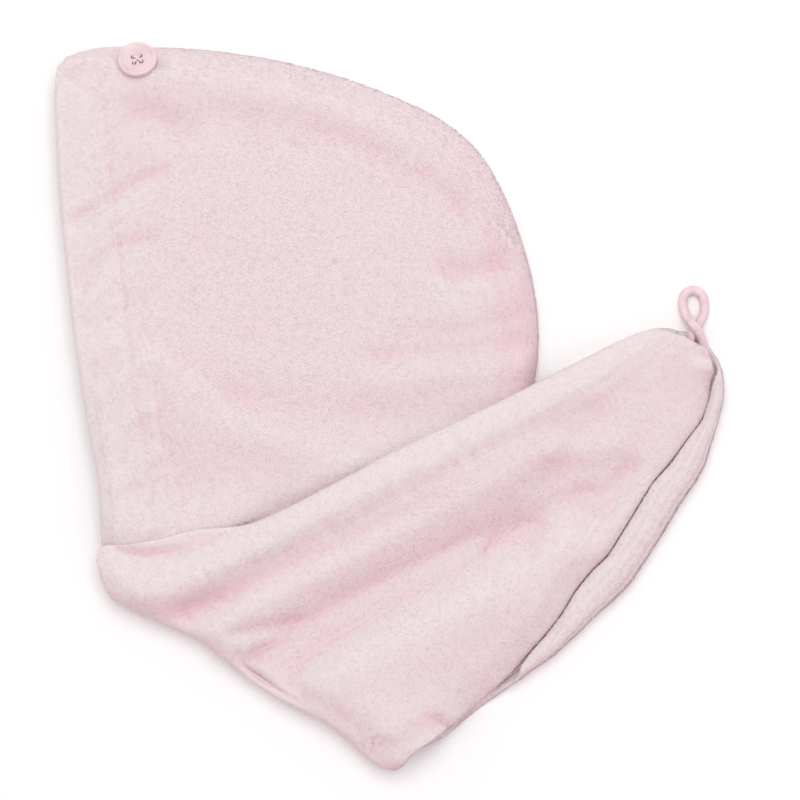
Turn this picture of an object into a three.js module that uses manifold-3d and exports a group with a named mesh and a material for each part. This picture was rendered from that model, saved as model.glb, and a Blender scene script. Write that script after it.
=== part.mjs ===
// A hooded hair towel, laid flat with its tail folded over the hood.
// Two panels of plush cloth are sewn together along the crown seam and are open along their hems.
// The outer panel lies on the table, goes round the outside of the fold and is the top of the tail.
// The inner panel is the top of the hood, goes through the inside of the fold and is the tail's underside.
// Millimetres, +Z up. The origin is on the table, under the middle of the laid towel.
import * as THREE from "three";
import { mergeVertices } from "three/addons/utils/BufferGeometryUtils.js";
import Module from "manifold-3d";

const wasm = await Module();
wasm.setup();

// Cloth: the panels are plush walls, twice folded at the hem.
const CLOTH = 3;
const HEM_CLOTH = 4.2;
const STITCHED_CLOTH = 2.4;
const HEM_WIDTH = 27;
const EDGE_NOSE = 1.2;
const SEAM_GAP = 0.4;
const TAIL_GAP = 1.2;
const LAID_GAP = 1.1;

// How high the hood stands open, and how the lying tail presses it down.
const HOOD_RISE = 8.6;
const PRESSED_SHARE = 0.16;
const PRESS_REACH = 26;
const CROWN_SLOPE_WIDTH = 23;
const HEM_DROOP = 0.22;

// The fold: the outer panel rolls round the inner one.
const FOLD_MIDDLE_HEIGHT = 10.5;
const OUTER_ROLL_HALF_HEIGHT = 9;
const INNER_ROLL_HALF_SIZE = 3;
const FOLD_BLEND_WIDTH = 30;
const ROLL_STEPS = 6;

// The tail: its puff, its drape off the hood onto the table, and the rolled-up edge of its lower panel.
const TAIL_RISE = 4.5;
const TAIL_HEM_RISE = 2.6;
const TAIL_SLOPE_WIDTH = 24;
const DRAPE_START = 3;
const DRAPE_END = 27;
const CURL_HEIGHT = 11;
const CURL_END_ANGLE = THREE.MathUtils.degToRad(150);
const CURL_UPRIGHT = 0.4;

// Mesh steps along the panels.
const HOOD_STEPS = 24;
const TAIL_STEPS = 22;
const HEM_ZONE_SHARE = 0.3;
const EDGE_WIDTH = 36;
const EDGE_ZONE_SHARE = 0.38;
const MIDDLE_COLUMNS = 4;

// Columns of the hem, as shares of its width, with the cloth's thickness there.
const HEM_COLUMNS = [
  { share: 0, thickness: HEM_CLOTH },
  { share: 0.14, thickness: HEM_CLOTH },
  { share: 0.5, thickness: HEM_CLOTH },
  { share: 0.86, thickness: HEM_CLOTH },
  { share: 1, thickness: STITCHED_CLOTH },
  { share: 1.16, thickness: CLOTH },
];

// Columns before the seam, as shares of the edge zone that are left to the seam.
const EDGE_COLUMNS = [1, 0.8, 0.6, 0.5, 0.4, 0.3, 0.2, 0.1, 0];
const CURL_START_COLUMN = 0.5;

// Sections of the hood, from its top corner down to the fold, from the open edge to the crown seam.
const HOOD_SECTIONS = [
  { openX: -181, openY: 177, seamX: -176, seamY: 189.5 },
  { openX: -181, openY: 167, seamX: -152, seamY: 194 },
  { openX: -180, openY: 146, seamX: -90, seamY: 192 },
  { openX: -178.5, openY: 118, seamX: -18, seamY: 175 },
  { openX: -175.5, openY: 86, seamX: 40, seamY: 144.5 },
  { openX: -172, openY: 53, seamX: 67, seamY: 96 },
  { openX: -167.5, openY: 19, seamX: 78, seamY: 42 },
  { openX: -162, openY: -14, seamX: 72, seamY: -7 },
  { openX: -157, openY: -42, seamX: 57, seamY: -54 },
  { openX: -156, openY: -64, seamX: 35, seamY: -113 },
  { openX: -156, openY: -84, seamX: 8.5, seamY: -187 },
];

// How far the rolled cloth reaches past the fold line, by its share of the way along it.
const FOLD_REACH = [
  { share: 0, reach: 10.5 },
  { share: 0.1, reach: 13.5 },
  { share: 0.2, reach: 12.4 },
  { share: 0.34, reach: 9.2 },
  { share: 0.52, reach: 11.2 },
  { share: 0.73, reach: 9 },
  { share: 0.84, reach: 11 },
  { share: 0.93, reach: 13.5 },
  { share: 1, reach: 9.5 },
];

// Sections of the tail, from the fold to its tip. strip is the width of the lower panel's edge that shows
// outside the upper panel, and curl how far that edge is rolled: 0 flat, CURL_UPRIGHT standing, 1 rolled over.
const TAIL_SECTIONS = [
  { openX: -156, openY: -84, seamX: 8.5, seamY: -187, strip: 0, curl: 0 },
  { openX: -131, openY: -80.5, seamX: 31, seamY: -174.5, strip: 3.5, curl: 0 },
  { openX: -106, openY: -74, seamX: 55, seamY: -157.5, strip: 5, curl: 0 },
  { openX: -80, openY: -65, seamX: 78.5, seamY: -142, strip: 11, curl: 0.7 },
  { openX: -54, openY: -53.5, seamX: 100, seamY: -124, strip: 15, curl: 1 },
  { openX: -27, openY: -39.5, seamX: 120.5, seamY: -105.5, strip: 18, curl: 1 },
  { openX: 0, openY: -25, seamX: 135.5, seamY: -86.5, strip: 20, curl: 1 },
  { openX: 28, openY: -11.5, seamX: 149, seamY: -65, strip: 20, curl: 1 },
  { openX: 56, openY: 1.5, seamX: 164.5, seamY: -41, strip: 18, curl: 1 },
  { openX: 84, openY: 15.5, seamX: 173.5, seamY: -19.5, strip: 14, curl: 1 },
  { openX: 110, openY: 28.5, seamX: 179, seamY: 2, strip: 11, curl: 1 },
  { openX: 130.5, openY: 38.5, seamX: 181, seamY: 18, strip: 8, curl: 0.5 },
  { openX: 143, openY: 42.5, seamX: 177, seamY: 30, strip: 6, curl: 0 },
  { openX: 150, openY: 43, seamX: 170.5, seamY: 38.5, strip: 5, curl: 0 },
];
const TIP_SETBACK = 4.5;

// The line where the tail lies on the hood, which the hood's cloth rises behind.
const TAIL_LINE = [[-153.5, -87.5], [134, 38]];

// Soft folds of the hood: a ridge where height is positive, a dent where it is negative.
const HOOD_FOLDS = [
  { name: "behind the button", line: [[-121, 166], [-119, 156], [-130, 151]], width: 9, height: -3.5 },
  { name: "below the crown rim", line: [[-88, 156], [-34, 140], [15, 123], [32, 109]], width: 13, height: -2.6 },
  { name: "upper hem dent", line: [[-164, 106], [-146, 117], [-125, 128]], width: 8, height: -3 },
  { name: "upper hem ridge", line: [[-167, 91], [-144, 112], [-110, 122]], width: 9, height: 2 },
  { name: "middle hem dent", line: [[-166, 72], [-147, 92], [-130, 99]], width: 7, height: -1.8 },
  { name: "lower hem ridge", line: [[-157, 18], [-136, 31]], width: 8, height: 1.8 },
  { name: "long lower ridge", line: [[-134, 23], [-90, -6], [-39, -31]], width: 14, height: 2.6 },
  { name: "long lower dent", line: [[-122, -17], [-82, -36], [-58, -45]], width: 11, height: -2.4 },
  { name: "upper side dent", line: [[28, 77], [58, 82]], width: 12, height: -2.6 },
  { name: "upper side ridge", line: [[20, 63], [72, 69]], width: 9, height: 1.6 },
  { name: "lower side dent", line: [[36, 34], [69, 43]], width: 9, height: -2.4 },
  { name: "lower side ridge", line: [[4, 26], [74, 34]], width: 8, height: 1.4 },
];

// Soft folds of the tail's upper panel.
const TAIL_FOLDS = [
  { name: "hem ridge", line: [[-146, -95], [-97, -86], [-46, -62], [24, -28], [115, 18]], width: 12, height: 5 },
  { name: "stitch valley", line: [[-125, -114], [-71, -102], [-28, -80], [26, -50]], width: 8, height: -4.5 },
  { name: "second ridge", line: [[-98, -121], [-49, -99], [18, -58], [85, -22]], width: 9, height: 4.5 },
  { name: "second valley", line: [[-90, -129], [-22, -98], [31, -71], [80, -52]], width: 9, height: -4.5 },
  { name: "broad ridge", line: [[-66, -146], [-33, -131], [36, -98], [86, -71]], width: 19, height: 6.5 },
  { name: "dimple", line: [[88, -33], [118, -36]], width: 11, height: -4 },
];

// The upper panel's lift over the loop's two sewn ends.
const LOOP_LIFT = [{ name: "over the loop's ends", line: [[161, 37], [170, 31]], width: 9.5, height: 7 }];

// Button: a turned blank with a raised rim, leaning on the slope of the crown.
const BUTTON = { x: -137.5, y: 187, radius: 10.6, thickness: 3.8, tiltDegrees: 29, turnDegrees: 10, gap: 0.4 };
const BUTTON_DISH = { rimWidth: 1.9, slopeWidth: 0.9, depth: 1.2, chamfer: 0.7 };
const BUTTON_HOLES = { radius: 1.15, spacing: 4, sides: 10 };
const THREAD = { radius: 0.6, clearance: 0.3, sides: 8 };
const BUTTON_SIDES = 32;

// Loop: a cloth cord, sewn by both ends between the panels at the tail's tip.
const LOOP_CORD_RADIUS = 2.5;
const LOOP_STEPS = 34;
const LOOP_SIDES = 8;
const LOOP_ROUTE = [
  [169.6, 27, 5.9],
  [169.2, 32, 6],
  [167.6, 37.2, 7.1],
  [165, 42, 9.9],
  [161.6, 46.5, 7.6],
  [158.8, 51.5, 3.6],
  [157.6, 57, 2.5],
  [159, 62, 2.5],
  [163.4, 63.9, 2.5],
  [167.8, 61.6, 2.5],
  [169.5, 56.5, 2.5],
  [169, 51, 2.5],
  [167, 47, 3.1],
  [164.8, 43.6, 4.6],
  [163, 40.4, 6],
  [161.4, 36.4, 6],
  [160.8, 32, 5.9],
];

const CLOTH_COLOUR = "#eedade";
const BUTTON_COLOUR = "#f0d6d8";
const THREAD_COLOUR = "#f3e2e4";

// The sizes above are measured from the middle of the picture of the towel; the origin is under its box's middle.
const ORIGIN_SHIFT = { x: 0.45, y: -1.3 };

const UP = new THREE.Vector3(0, 0, 1);

// 0 before start, 1 after end, and a smooth rise between them.
function smoothStep(start, end, value) {
  return THREE.MathUtils.smoothstep(value, start, end);
}

// The distance from a place to a broken line, negative on the line's left side.
function signedDistance(x, y, line) {
  let nearest = Infinity;
  let side = 1;
  for (let k = 0; k + 1 < line.length; k += 1) {
    const [ax, ay] = line[k];
    const [bx, by] = line[k + 1];
    const dx = bx - ax;
    const dy = by - ay;
    const along = THREE.MathUtils.clamp(((x - ax) * dx + (y - ay) * dy) / (dx * dx + dy * dy), 0, 1);
    const away = Math.hypot(x - ax - along * dx, y - ay - along * dy);
    if (away < nearest) {
      nearest = away;
      side = dx * (y - ay) - dy * (x - ax) > 0 ? -1 : 1;
    }
  }
  return side * nearest;
}

// The height that a table of folds adds at a place.
function foldHeight(x, y, folds) {
  let height = 0;
  for (const fold of folds) {
    const away = signedDistance(x, y, fold.line) / fold.width;
    height += fold.height * Math.exp(-away * away);
  }
  return height;
}

// A smooth curve through one named end of all sections.
function edgeCurve(sections, endX, endY) {
  const points = sections.map((section) => new THREE.Vector3(section[endX], section[endY], 0));
  return new THREE.CatmullRomCurve3(points, false, "centripetal");
}

// A named column of a table of sections, read between its rows.
function columnBetween(sections, name, place) {
  const row = Math.min(Math.floor(place), sections.length - 2);
  return THREE.MathUtils.lerp(sections[row][name], sections[row + 1][name], place - row);
}

const hoodOpen = edgeCurve(HOOD_SECTIONS, "openX", "openY");
const hoodSeam = edgeCurve(HOOD_SECTIONS, "seamX", "seamY");
const tailOpen = edgeCurve(TAIL_SECTIONS, "openX", "openY");
const tailSeam = edgeCurve(TAIL_SECTIONS, "seamX", "seamY");
const hoodSeamLine = hoodSeam.getPoints(60).map((point) => [point.x, point.y]);
const hoodOpenLine = hoodOpen.getPoints(30).map((point) => [point.x, point.y]);

const foldStart = hoodOpen.getPoint(1);
const foldEnd = hoodSeam.getPoint(1);
const foldLine = [[foldStart.x, foldStart.y], [foldEnd.x, foldEnd.y]];
const foldOutward = new THREE.Vector3(foldEnd.y - foldStart.y, foldStart.x - foldEnd.x, 0).normalize();

// How far the outer panel's face reaches past the fold line.
function foldReach(share) {
  const after = Math.max(1, FOLD_REACH.findIndex((row) => row.share >= share));
  const low = FOLD_REACH[after - 1];
  const high = FOLD_REACH[after];
  return THREE.MathUtils.lerp(low.reach, high.reach, smoothStep(low.share, high.share, share));
}

// Half the height of the inner panel's roll: near the seam it widens until it meets the outer panel.
function innerRollHalfHeight(share) {
  const atSeam = OUTER_ROLL_HALF_HEIGHT - CLOTH - SEAM_GAP;
  return THREE.MathUtils.lerp(INNER_ROLL_HALF_SIZE, atSeam, smoothStep(0.82, 1, share));
}

// Half the width of the inner panel's roll, by the same rule.
function innerRollHalfWidth(share) {
  const atSeam = foldReach(share) - 1.5 * CLOTH - SEAM_GAP;
  return THREE.MathUtils.lerp(INNER_ROLL_HALF_SIZE, atSeam, smoothStep(0.82, 1, share));
}

// Share of a free height that is left beside the fold: 0 on the fold line, 1 away from it.
function awayFromFold(x, y) {
  return smoothStep(0, FOLD_BLEND_WIDTH, Math.abs(signedDistance(x, y, foldLine)));
}

// The rounded slope of a stuffed edge: 0 at the seam, 1 at the given width inside it.
function pillowSlope(depth, width) {
  const left = 1 - THREE.MathUtils.clamp(depth / width, 0, 1);
  return 1 - left * left;
}

// How far the hood's front panel stands clear above the back panel.
function hoodRise(x, y) {
  const slope = pillowSlope(signedDistance(x, y, hoodSeamLine), CROWN_SLOPE_WIDTH);
  const fromTail = -signedDistance(x, y, TAIL_LINE);
  const free = smoothStep(-PRESS_REACH, PRESS_REACH, fromTail);
  const press = THREE.MathUtils.lerp(PRESSED_SHARE, 1, free);
  const fromMouth = signedDistance(x, y, hoodOpenLine) / (0.4 * HEM_WIDTH);
  const droop = 1 - HEM_DROOP * Math.exp(-fromMouth * fromMouth);
  const folds = foldHeight(x, y, HOOD_FOLDS) * free;
  return Math.max(0, slope * (HOOD_RISE * press * droop + folds));
}

// Middle height of the hood's front panel, for cloth of one thickness in both panels.
function hoodHeight(x, y, thickness, share) {
  const lying = 1.5 * thickness + SEAM_GAP + hoodRise(x, y);
  const atFold = FOLD_MIDDLE_HEIGHT - innerRollHalfHeight(share);
  return THREE.MathUtils.lerp(Math.max(atFold, 1.5 * thickness + SEAM_GAP), lying, awayFromFold(x, y));
}

// Middle height of the tail's lower panel: on the hood, and past it on the table.
function tailLowerHeight(x, y, thickness, share) {
  const inHem = Math.abs(signedDistance(x, y, hoodOpenLine)) < HEM_WIDTH;
  const hoodThickness = inHem ? HEM_CLOTH : CLOTH;
  const hoodTop = hoodHeight(x, y, hoodThickness, share) + 0.5 * hoodThickness;
  const onHood = hoodTop + LAID_GAP + 0.5 * thickness;
  const pastSeam = -signedDistance(x, y, hoodSeamLine);
  const draped = THREE.MathUtils.lerp(onHood, 0.5 * thickness, smoothStep(DRAPE_START, DRAPE_END, pastSeam));
  const atFold = FOLD_MIDDLE_HEIGHT + innerRollHalfHeight(share);
  return THREE.MathUtils.lerp(atFold, draped, awayFromFold(x, y));
}

// Middle height of the tail's upper panel over the lower one.
function tailUpperHeight(x, y, thickness, share, fromOpen, fromSeam) {
  const lying = tailLowerHeight(x, y, thickness, share) + thickness + TAIL_GAP;
  const hemSlope = THREE.MathUtils.lerp(TAIL_HEM_RISE / TAIL_RISE, 1, pillowSlope(fromOpen, TAIL_SLOPE_WIDTH));
  const seamSlope = pillowSlope(fromSeam, TAIL_SLOPE_WIDTH);
  const puff = seamSlope * (TAIL_RISE * hemSlope + foldHeight(x, y, TAIL_FOLDS));
  const free = lying + Math.max(0, puff) + foldHeight(x, y, LOOP_LIFT);
  const atFold = FOLD_MIDDLE_HEIGHT + OUTER_ROLL_HALF_HEIGHT;
  return THREE.MathUtils.lerp(atFold, free, awayFromFold(x, y));
}

// The columns of a section: how far each is from the open edge, and the cloth's thickness there.
function sectionColumns(length) {
  const hem = Math.min(HEM_WIDTH, HEM_ZONE_SHARE * length);
  const edge = Math.min(EDGE_WIDTH, EDGE_ZONE_SHARE * length);
  const columns = HEM_COLUMNS.map((column) => ({ from: column.share * hem, thickness: column.thickness, edge: 1 }));
  const middleStart = columns[columns.length - 1].from;
  for (let k = 1; k <= MIDDLE_COLUMNS; k += 1) {
    const from = THREE.MathUtils.lerp(middleStart, length - edge, k / (MIDDLE_COLUMNS + 1));
    columns.push({ from, thickness: CLOTH, edge: 1 });
  }
  for (const left of EDGE_COLUMNS) {
    columns.push({ from: length - left * edge, thickness: CLOTH, edge: left });
  }
  return columns;
}

// One row of a panel: the middle of the cloth at each column, its thickness, and how bent the cloth is.
function sectionRow(open, seam, place) {
  const length = open.distanceTo(seam);
  const row = [];
  for (const column of sectionColumns(length)) {
    const share = column.from / length;
    const middle = new THREE.Vector3().lerpVectors(open, seam, share);
    row.push({ middle, thickness: column.thickness, bend: 0, ...place(middle, column, share, length) });
  }
  return row;
}

// Rows of both panels in the hood.
function hoodRows(isInner) {
  const rows = [];
  for (let k = 0; k <= HOOD_STEPS; k += 1) {
    const row = sectionRow(hoodOpen.getPoint(k / HOOD_STEPS), hoodSeam.getPoint(k / HOOD_STEPS),
      (middle, column, share) => {
        const lying = 0.5 * column.thickness;
        middle.z = isInner ? hoodHeight(middle.x, middle.y, column.thickness, share) : lying;
        return {};
      });
    rows.push(row);
  }
  return rows;
}

// Rows of both panels round the fold, between the hood's last section and the tail's first.
function rollRows(isInner) {
  const rows = [];
  for (let k = 1; k < ROLL_STEPS; k += 1) {
    const angle = Math.PI * (k / ROLL_STEPS - 0.5);
    const row = sectionRow(foldStart, foldEnd, (middle, column, share) => {
      const low = isInner ? FOLD_MIDDLE_HEIGHT - innerRollHalfHeight(share) : 0.5 * column.thickness;
      const high = FOLD_MIDDLE_HEIGHT + (isInner ? innerRollHalfHeight(share) : OUTER_ROLL_HALF_HEIGHT);
      const reach = isInner ? innerRollHalfWidth(share) : foldReach(share) - 0.5 * column.thickness;
      middle.addScaledVector(foldOutward, reach * Math.cos(angle));
      middle.z = 0.5 * (low + high) + 0.5 * (high - low) * Math.sin(angle);
      return { bend: 1 };
    });
    rows.push(row);
  }
  return rows;
}

// Rows of the tail's upper panel, which ends at the groove beside the rolled-up edge.
function tailUpperRows() {
  const rows = [];
  for (let k = 0; k <= TAIL_STEPS; k += 1) {
    const place = (k / TAIL_STEPS) * (TAIL_SECTIONS.length - 1);
    const open = tailOpen.getPoint(k / TAIL_STEPS);
    const seam = tailSeam.getPoint(k / TAIL_STEPS);
    const strip = columnBetween(TAIL_SECTIONS, "strip", place);
    const inset = strip > 0 ? strip + EDGE_NOSE + SEAM_GAP : 0;
    seam.addScaledVector(seam.clone().sub(open).normalize(), -inset);
    if (k === TAIL_STEPS) {
      seam.y -= TIP_SETBACK;
      open.y -= 0.4 * TIP_SETBACK;
    }
    const row = sectionRow(open, seam, (middle, column, share, length) => {
      const fromSeam = length - column.from;
      middle.z = tailUpperHeight(middle.x, middle.y, column.thickness, share, column.from, fromSeam);
      return {};
    });
    rows.push(row);
  }
  return rows;
}

// Rows of the tail's lower panel, whose edge rolls up and back to the groove.
function tailLowerRows() {
  const rows = [];
  for (let k = 0; k <= TAIL_STEPS; k += 1) {
    const place = (k / TAIL_STEPS) * (TAIL_SECTIONS.length - 1);
    const open = tailOpen.getPoint(k / TAIL_STEPS);
    const seam = tailSeam.getPoint(k / TAIL_STEPS);
    const strip = columnBetween(TAIL_SECTIONS, "strip", place);
    const curl = columnBetween(TAIL_SECTIONS, "curl", place);
    const outward = seam.clone().sub(open).normalize();
    const row = sectionRow(open, seam, (middle, column, share, length) => {
      middle.z = tailLowerHeight(middle.x, middle.y, column.thickness, share);
      if (curl === 0 || column.edge > CURL_START_COLUMN) {
        return {};
      }
      const around = 1 - column.edge / CURL_START_COLUMN;
      const halfWidth = 0.5 * Math.max(strip - CLOTH, 0.3 * CLOTH);
      const centre = open.clone().addScaledVector(outward, length - 0.5 * strip);
      const floor = tailLowerHeight(centre.x, centre.y, CLOTH, share);
      const rolledOver = smoothStep(CURL_UPRIGHT, 1, curl);
      const turn = THREE.MathUtils.lerp(-0.5 * Math.PI, rolledOver * CURL_END_ANGLE, around);
      const halfHeight = 0.5 * (CURL_HEIGHT - CLOTH);
      const curled = centre.clone().addScaledVector(outward, halfWidth * Math.cos(turn));
      curled.z = floor + halfHeight * (1 + Math.sin(turn));
      const raised = smoothStep(0, CURL_UPRIGHT, curl);
      middle.lerp(curled, raised);
      return { bend: raised };
    });
    rows.push(row);
  }
  return rows;
}

// A closed wall of cloth round the middle points of a panel's rows.
function panelGeometry(rows) {
  const last = rows[0].length - 1;
  const positions = [];
  const push = (point) => positions.push(point.x, point.y, point.z);
  rows.forEach((row, i) => {
    const before = rows[Math.max(0, i - 1)];
    const after = rows[Math.min(rows.length - 1, i + 1)];
    const faces = row.map((spot, j) => {
      const along = after[j].middle.clone().sub(before[j].middle);
      const across = row[Math.min(last, j + 1)].middle.clone().sub(row[Math.max(0, j - 1)].middle);
      const normal = along.cross(across).normalize();
      const upright = UP.clone().multiplyScalar(Math.sign(normal.z) || 1);
      const lean = upright.lerp(normal, spot.bend).normalize().multiplyScalar(0.5 * spot.thickness);
      return { front: spot.middle.clone().add(lean), back: spot.middle.clone().sub(lean) };
    });
    const nose = (j, inner) => {
      const outward = row[j].middle.clone().sub(row[inner].middle).normalize();
      return row[j].middle.clone().addScaledVector(outward, EDGE_NOSE);
    };
    faces.forEach((face) => push(face.front));
    push(nose(last, last - 1));
    faces.slice().reverse().forEach((face) => push(face.back));
    push(nose(0, 1));
  });
  const ring = 2 * (last + 1) + 2;
  const triangles = [];
  const quad = (a, b, c, d) => triangles.push(a, b, c, a, c, d);
  for (let i = 0; i + 1 < rows.length; i += 1) {
    for (let k = 0; k < ring; k += 1) {
      const next = (k + 1) % ring;
      quad(i * ring + k, (i + 1) * ring + k, (i + 1) * ring + next, i * ring + next);
    }
  }
  const cap = (base, flip) => {
    const corners = [];
    for (let j = 0; j < last; j += 1) {
      corners.push([j, j + 1, ring - 3 - j, ring - 2 - j]);
    }
    for (const [a, b, c, d] of corners) {
      if (flip) {
        quad(base + d, base + c, base + b, base + a);
      } else {
        quad(base + a, base + b, base + c, base + d);
      }
    }
    const tips = [[last, last + 1, last + 2], [ring - 2, ring - 1, 0]];
    for (const [a, b, c] of tips) {
      triangles.push(...(flip ? [base + c, base + b, base + a] : [base + a, base + b, base + c]));
    }
  };
  cap(0, false);
  cap((rows.length - 1) * ring, true);
  const geometry = new THREE.BufferGeometry();
  geometry.setAttribute("position", new THREE.Float32BufferAttribute(positions, 3));
  geometry.setIndex(triangles);
  geometry.computeVertexNormals();
  return geometry;
}

// A solid for joins and cuts from a closed geometry.
function toSolid(geometry) {
  const bare = geometry.clone();
  bare.deleteAttribute("normal");
  bare.deleteAttribute("uv");
  const merged = mergeVertices(bare, 1e-4);
  return new wasm.Manifold(new wasm.Mesh({
    numProp: 3,
    vertProperties: new Float32Array(merged.attributes.position.array),
    triVerts: new Uint32Array(merged.index.array),
  }));
}

// The geometry of a joined or cut solid.
function toGeometry(solid) {
  const mesh = solid.getMesh();
  const geometry = new THREE.BufferGeometry();
  geometry.setAttribute("position", new THREE.Float32BufferAttribute(mesh.vertProperties, 3));
  geometry.setIndex(Array.from(mesh.triVerts));
  geometry.computeVertexNormals();
  return geometry;
}

// A closed tube of one section along a curve.
function tube(curve, radius, sides, steps) {
  const section = new THREE.Shape();
  for (let k = 0; k < sides; k += 1) {
    const angle = (2 * Math.PI * k) / sides;
    const corner = [radius * Math.cos(angle), radius * Math.sin(angle)];
    if (k === 0) {
      section.moveTo(...corner);
    } else {
      section.lineTo(...corner);
    }
  }
  return new THREE.ExtrudeGeometry(section, { steps, extrudePath: curve, bevelEnabled: false });
}

// The four places of the button's holes, in its own plane.
function holePlaces() {
  const half = 0.5 * BUTTON_HOLES.spacing;
  return [[-half, -half], [half, -half], [half, half], [-half, half]];
}

// The turned blank with its dished face, drilled four times. Its underside is at z = 0.
function buttonGeometry() {
  const { radius, thickness } = BUTTON;
  const { rimWidth, slopeWidth, depth, chamfer } = BUTTON_DISH;
  const profile = [
    [0, 0],
    [radius - 2 * chamfer, 0],
    [radius, 1.6 * chamfer],
    [radius, thickness - chamfer],
    [radius - 0.5 * rimWidth, thickness],
    [radius - rimWidth, thickness - 0.3 * depth],
    [radius - rimWidth - slopeWidth, thickness - depth],
    [0, thickness - depth],
  ].map(([r, z]) => new THREE.Vector2(r, z));
  let solid = toSolid(new THREE.LatheGeometry(profile, BUTTON_SIDES).rotateX(0.5 * Math.PI));
  for (const [x, y] of holePlaces()) {
    const drill = new THREE.CylinderGeometry(BUTTON_HOLES.radius, BUTTON_HOLES.radius, 3 * thickness,
      BUTTON_HOLES.sides);
    drill.rotateX(0.5 * Math.PI).translate(x, y, 0);
    solid = solid.subtract(toSolid(drill));
  }
  return toGeometry(solid);
}

// The thread: two stitches crossing on the face, each down through its two holes.
function threadGeometry() {
  const face = BUTTON.thickness - BUTTON_DISH.depth;
  const top = face + THREAD.clearance + THREAD.radius;
  const strand = (from, to) => {
    const path = new THREE.LineCurve3(new THREE.Vector3(...from), new THREE.Vector3(...to));
    return toSolid(tube(path, THREAD.radius, THREAD.sides, 1));
  };
  const places = holePlaces();
  const parts = places.map(([x, y]) => strand([x, y, 0], [x, y, top]));
  for (const k of [0, 1]) {
    const [startX, startY] = places[k];
    const [endX, endY] = places[k + 2];
    parts.push(strand([startX, startY, top], [endX, endY, top]));
  }
  return toGeometry(parts.reduce((whole, part) => whole.add(part)));
}

// The loop's cord along its route.
function loopGeometry() {
  const route = new THREE.CatmullRomCurve3(LOOP_ROUTE.map((point) => new THREE.Vector3(...point)));
  return tube(route, LOOP_CORD_RADIUS, LOOP_SIDES, LOOP_STEPS);
}

function clothMaterial() {
  return new THREE.MeshStandardMaterial({ color: CLOTH_COLOUR, roughness: 0.95, metalness: 0 });
}

function named(name, geometry, material) {
  const mesh = new THREE.Mesh(geometry, material);
  mesh.name = name;
  return mesh;
}

const towel = new THREE.Group();
const outerRows = [...hoodRows(false), ...rollRows(false), ...tailUpperRows()];
const innerRows = [...hoodRows(true), ...rollRows(true), ...tailLowerRows()];
towel.add(named("outer_panel", panelGeometry(outerRows), clothMaterial()));
towel.add(named("inner_panel", panelGeometry(innerRows), clothMaterial()));
towel.add(named("button_loop", loopGeometry(), clothMaterial()));

const buttonPlace = new THREE.Group();
const buttonSeat = hoodHeight(BUTTON.x, BUTTON.y, CLOTH, 0.5) + 0.5 * CLOTH + BUTTON.gap;
buttonPlace.position.set(BUTTON.x, BUTTON.y, buttonSeat);
buttonPlace.rotation.set(-THREE.MathUtils.degToRad(BUTTON.tiltDegrees), 0, 0);
const buttonTurn = new THREE.Group();
buttonTurn.rotation.z = THREE.MathUtils.degToRad(BUTTON.turnDegrees);
const buttonPlastic = new THREE.MeshStandardMaterial({ color: BUTTON_COLOUR, roughness: 0.35, metalness: 0 });
const threadFibre = new THREE.MeshStandardMaterial({ color: THREAD_COLOUR, roughness: 0.9, metalness: 0 });
buttonTurn.add(named("button", buttonGeometry(), buttonPlastic));
buttonTurn.add(named("button_thread", threadGeometry(), threadFibre));
buttonPlace.add(buttonTurn);
towel.add(buttonPlace);
towel.position.set(ORIGIN_SHIFT.x, ORIGIN_SHIFT.y, 0);

export default towel;
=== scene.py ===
"""A hooded hair towel of pink plush, laid on a table with its tail folded over the hood."""
import logging
import math
from dataclasses import dataclass
from enum import Enum
from typing import Sequence

import bmesh
import bpy
import numpy as np
from mathutils import Euler, Matrix, Vector
from mathutils.bvhtree import BVHTree


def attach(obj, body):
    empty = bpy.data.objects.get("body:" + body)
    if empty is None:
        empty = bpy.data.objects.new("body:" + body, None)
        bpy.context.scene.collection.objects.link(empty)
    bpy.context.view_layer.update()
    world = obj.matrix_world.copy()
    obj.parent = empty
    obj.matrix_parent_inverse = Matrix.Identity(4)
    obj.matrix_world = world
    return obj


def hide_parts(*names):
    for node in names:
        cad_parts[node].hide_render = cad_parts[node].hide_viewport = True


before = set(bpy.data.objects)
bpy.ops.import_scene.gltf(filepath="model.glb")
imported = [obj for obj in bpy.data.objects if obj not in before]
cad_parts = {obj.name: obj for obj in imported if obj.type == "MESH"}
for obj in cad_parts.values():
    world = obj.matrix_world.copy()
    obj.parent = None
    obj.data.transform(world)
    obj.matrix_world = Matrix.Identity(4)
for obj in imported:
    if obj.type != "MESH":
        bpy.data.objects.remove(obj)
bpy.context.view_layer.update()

log = logging.getLogger("hair_towel")
Socket = bpy.types.NodeSocket

MM = 0.001
PER_METRE = 1000.0
# The picture's side in pixels, its scale, and the pixel that lies over the towel's own origin.
IMAGE_SIDE = 800
MM_PER_PIXEL = 0.54
ORIGIN_PIXEL = (392, 408)
# Where the towel's own origin and the picture's middle lie in the frame, in millimetres.
TOWEL_ORIGIN = (0.45, -1.3)
PICTURE_MIDDLE = (4.77, 3.02)
# Painted shade on a wall that faces -Y, away from the soft box: how much deeper its colour is made, in millimetres of
# fold shade.
AWAY_SHADE = 2.2
# A crest and a crease count for no more than this in the painted light and shade of the folds, in millimetres.
CREST_LIMIT = 0.6
CREASE_LIMIT = 3.0
# A height that is well over the towel, in millimetres.
HIGH_ABOVE = 60.0
# The smallest length that a direction is worked out from.
TINY = 1e-9
# How many random values a side the noise repeats after.
LATTICE_SIDE = 48


def smooth_step(start: float, end: float, value: np.ndarray) -> np.ndarray:
    """0 up to start, 1 from end on, and a smooth rise between them."""
    share = np.clip((value - start) / (end - start), 0.0, 1.0)
    return share * share * (3.0 - 2.0 * share)


def bell(away: np.ndarray, width: np.ndarray | float) -> np.ndarray:
    """1 in the middle, falling off smoothly on both sides over the width."""
    return np.exp(-(away / width) ** 2)


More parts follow.
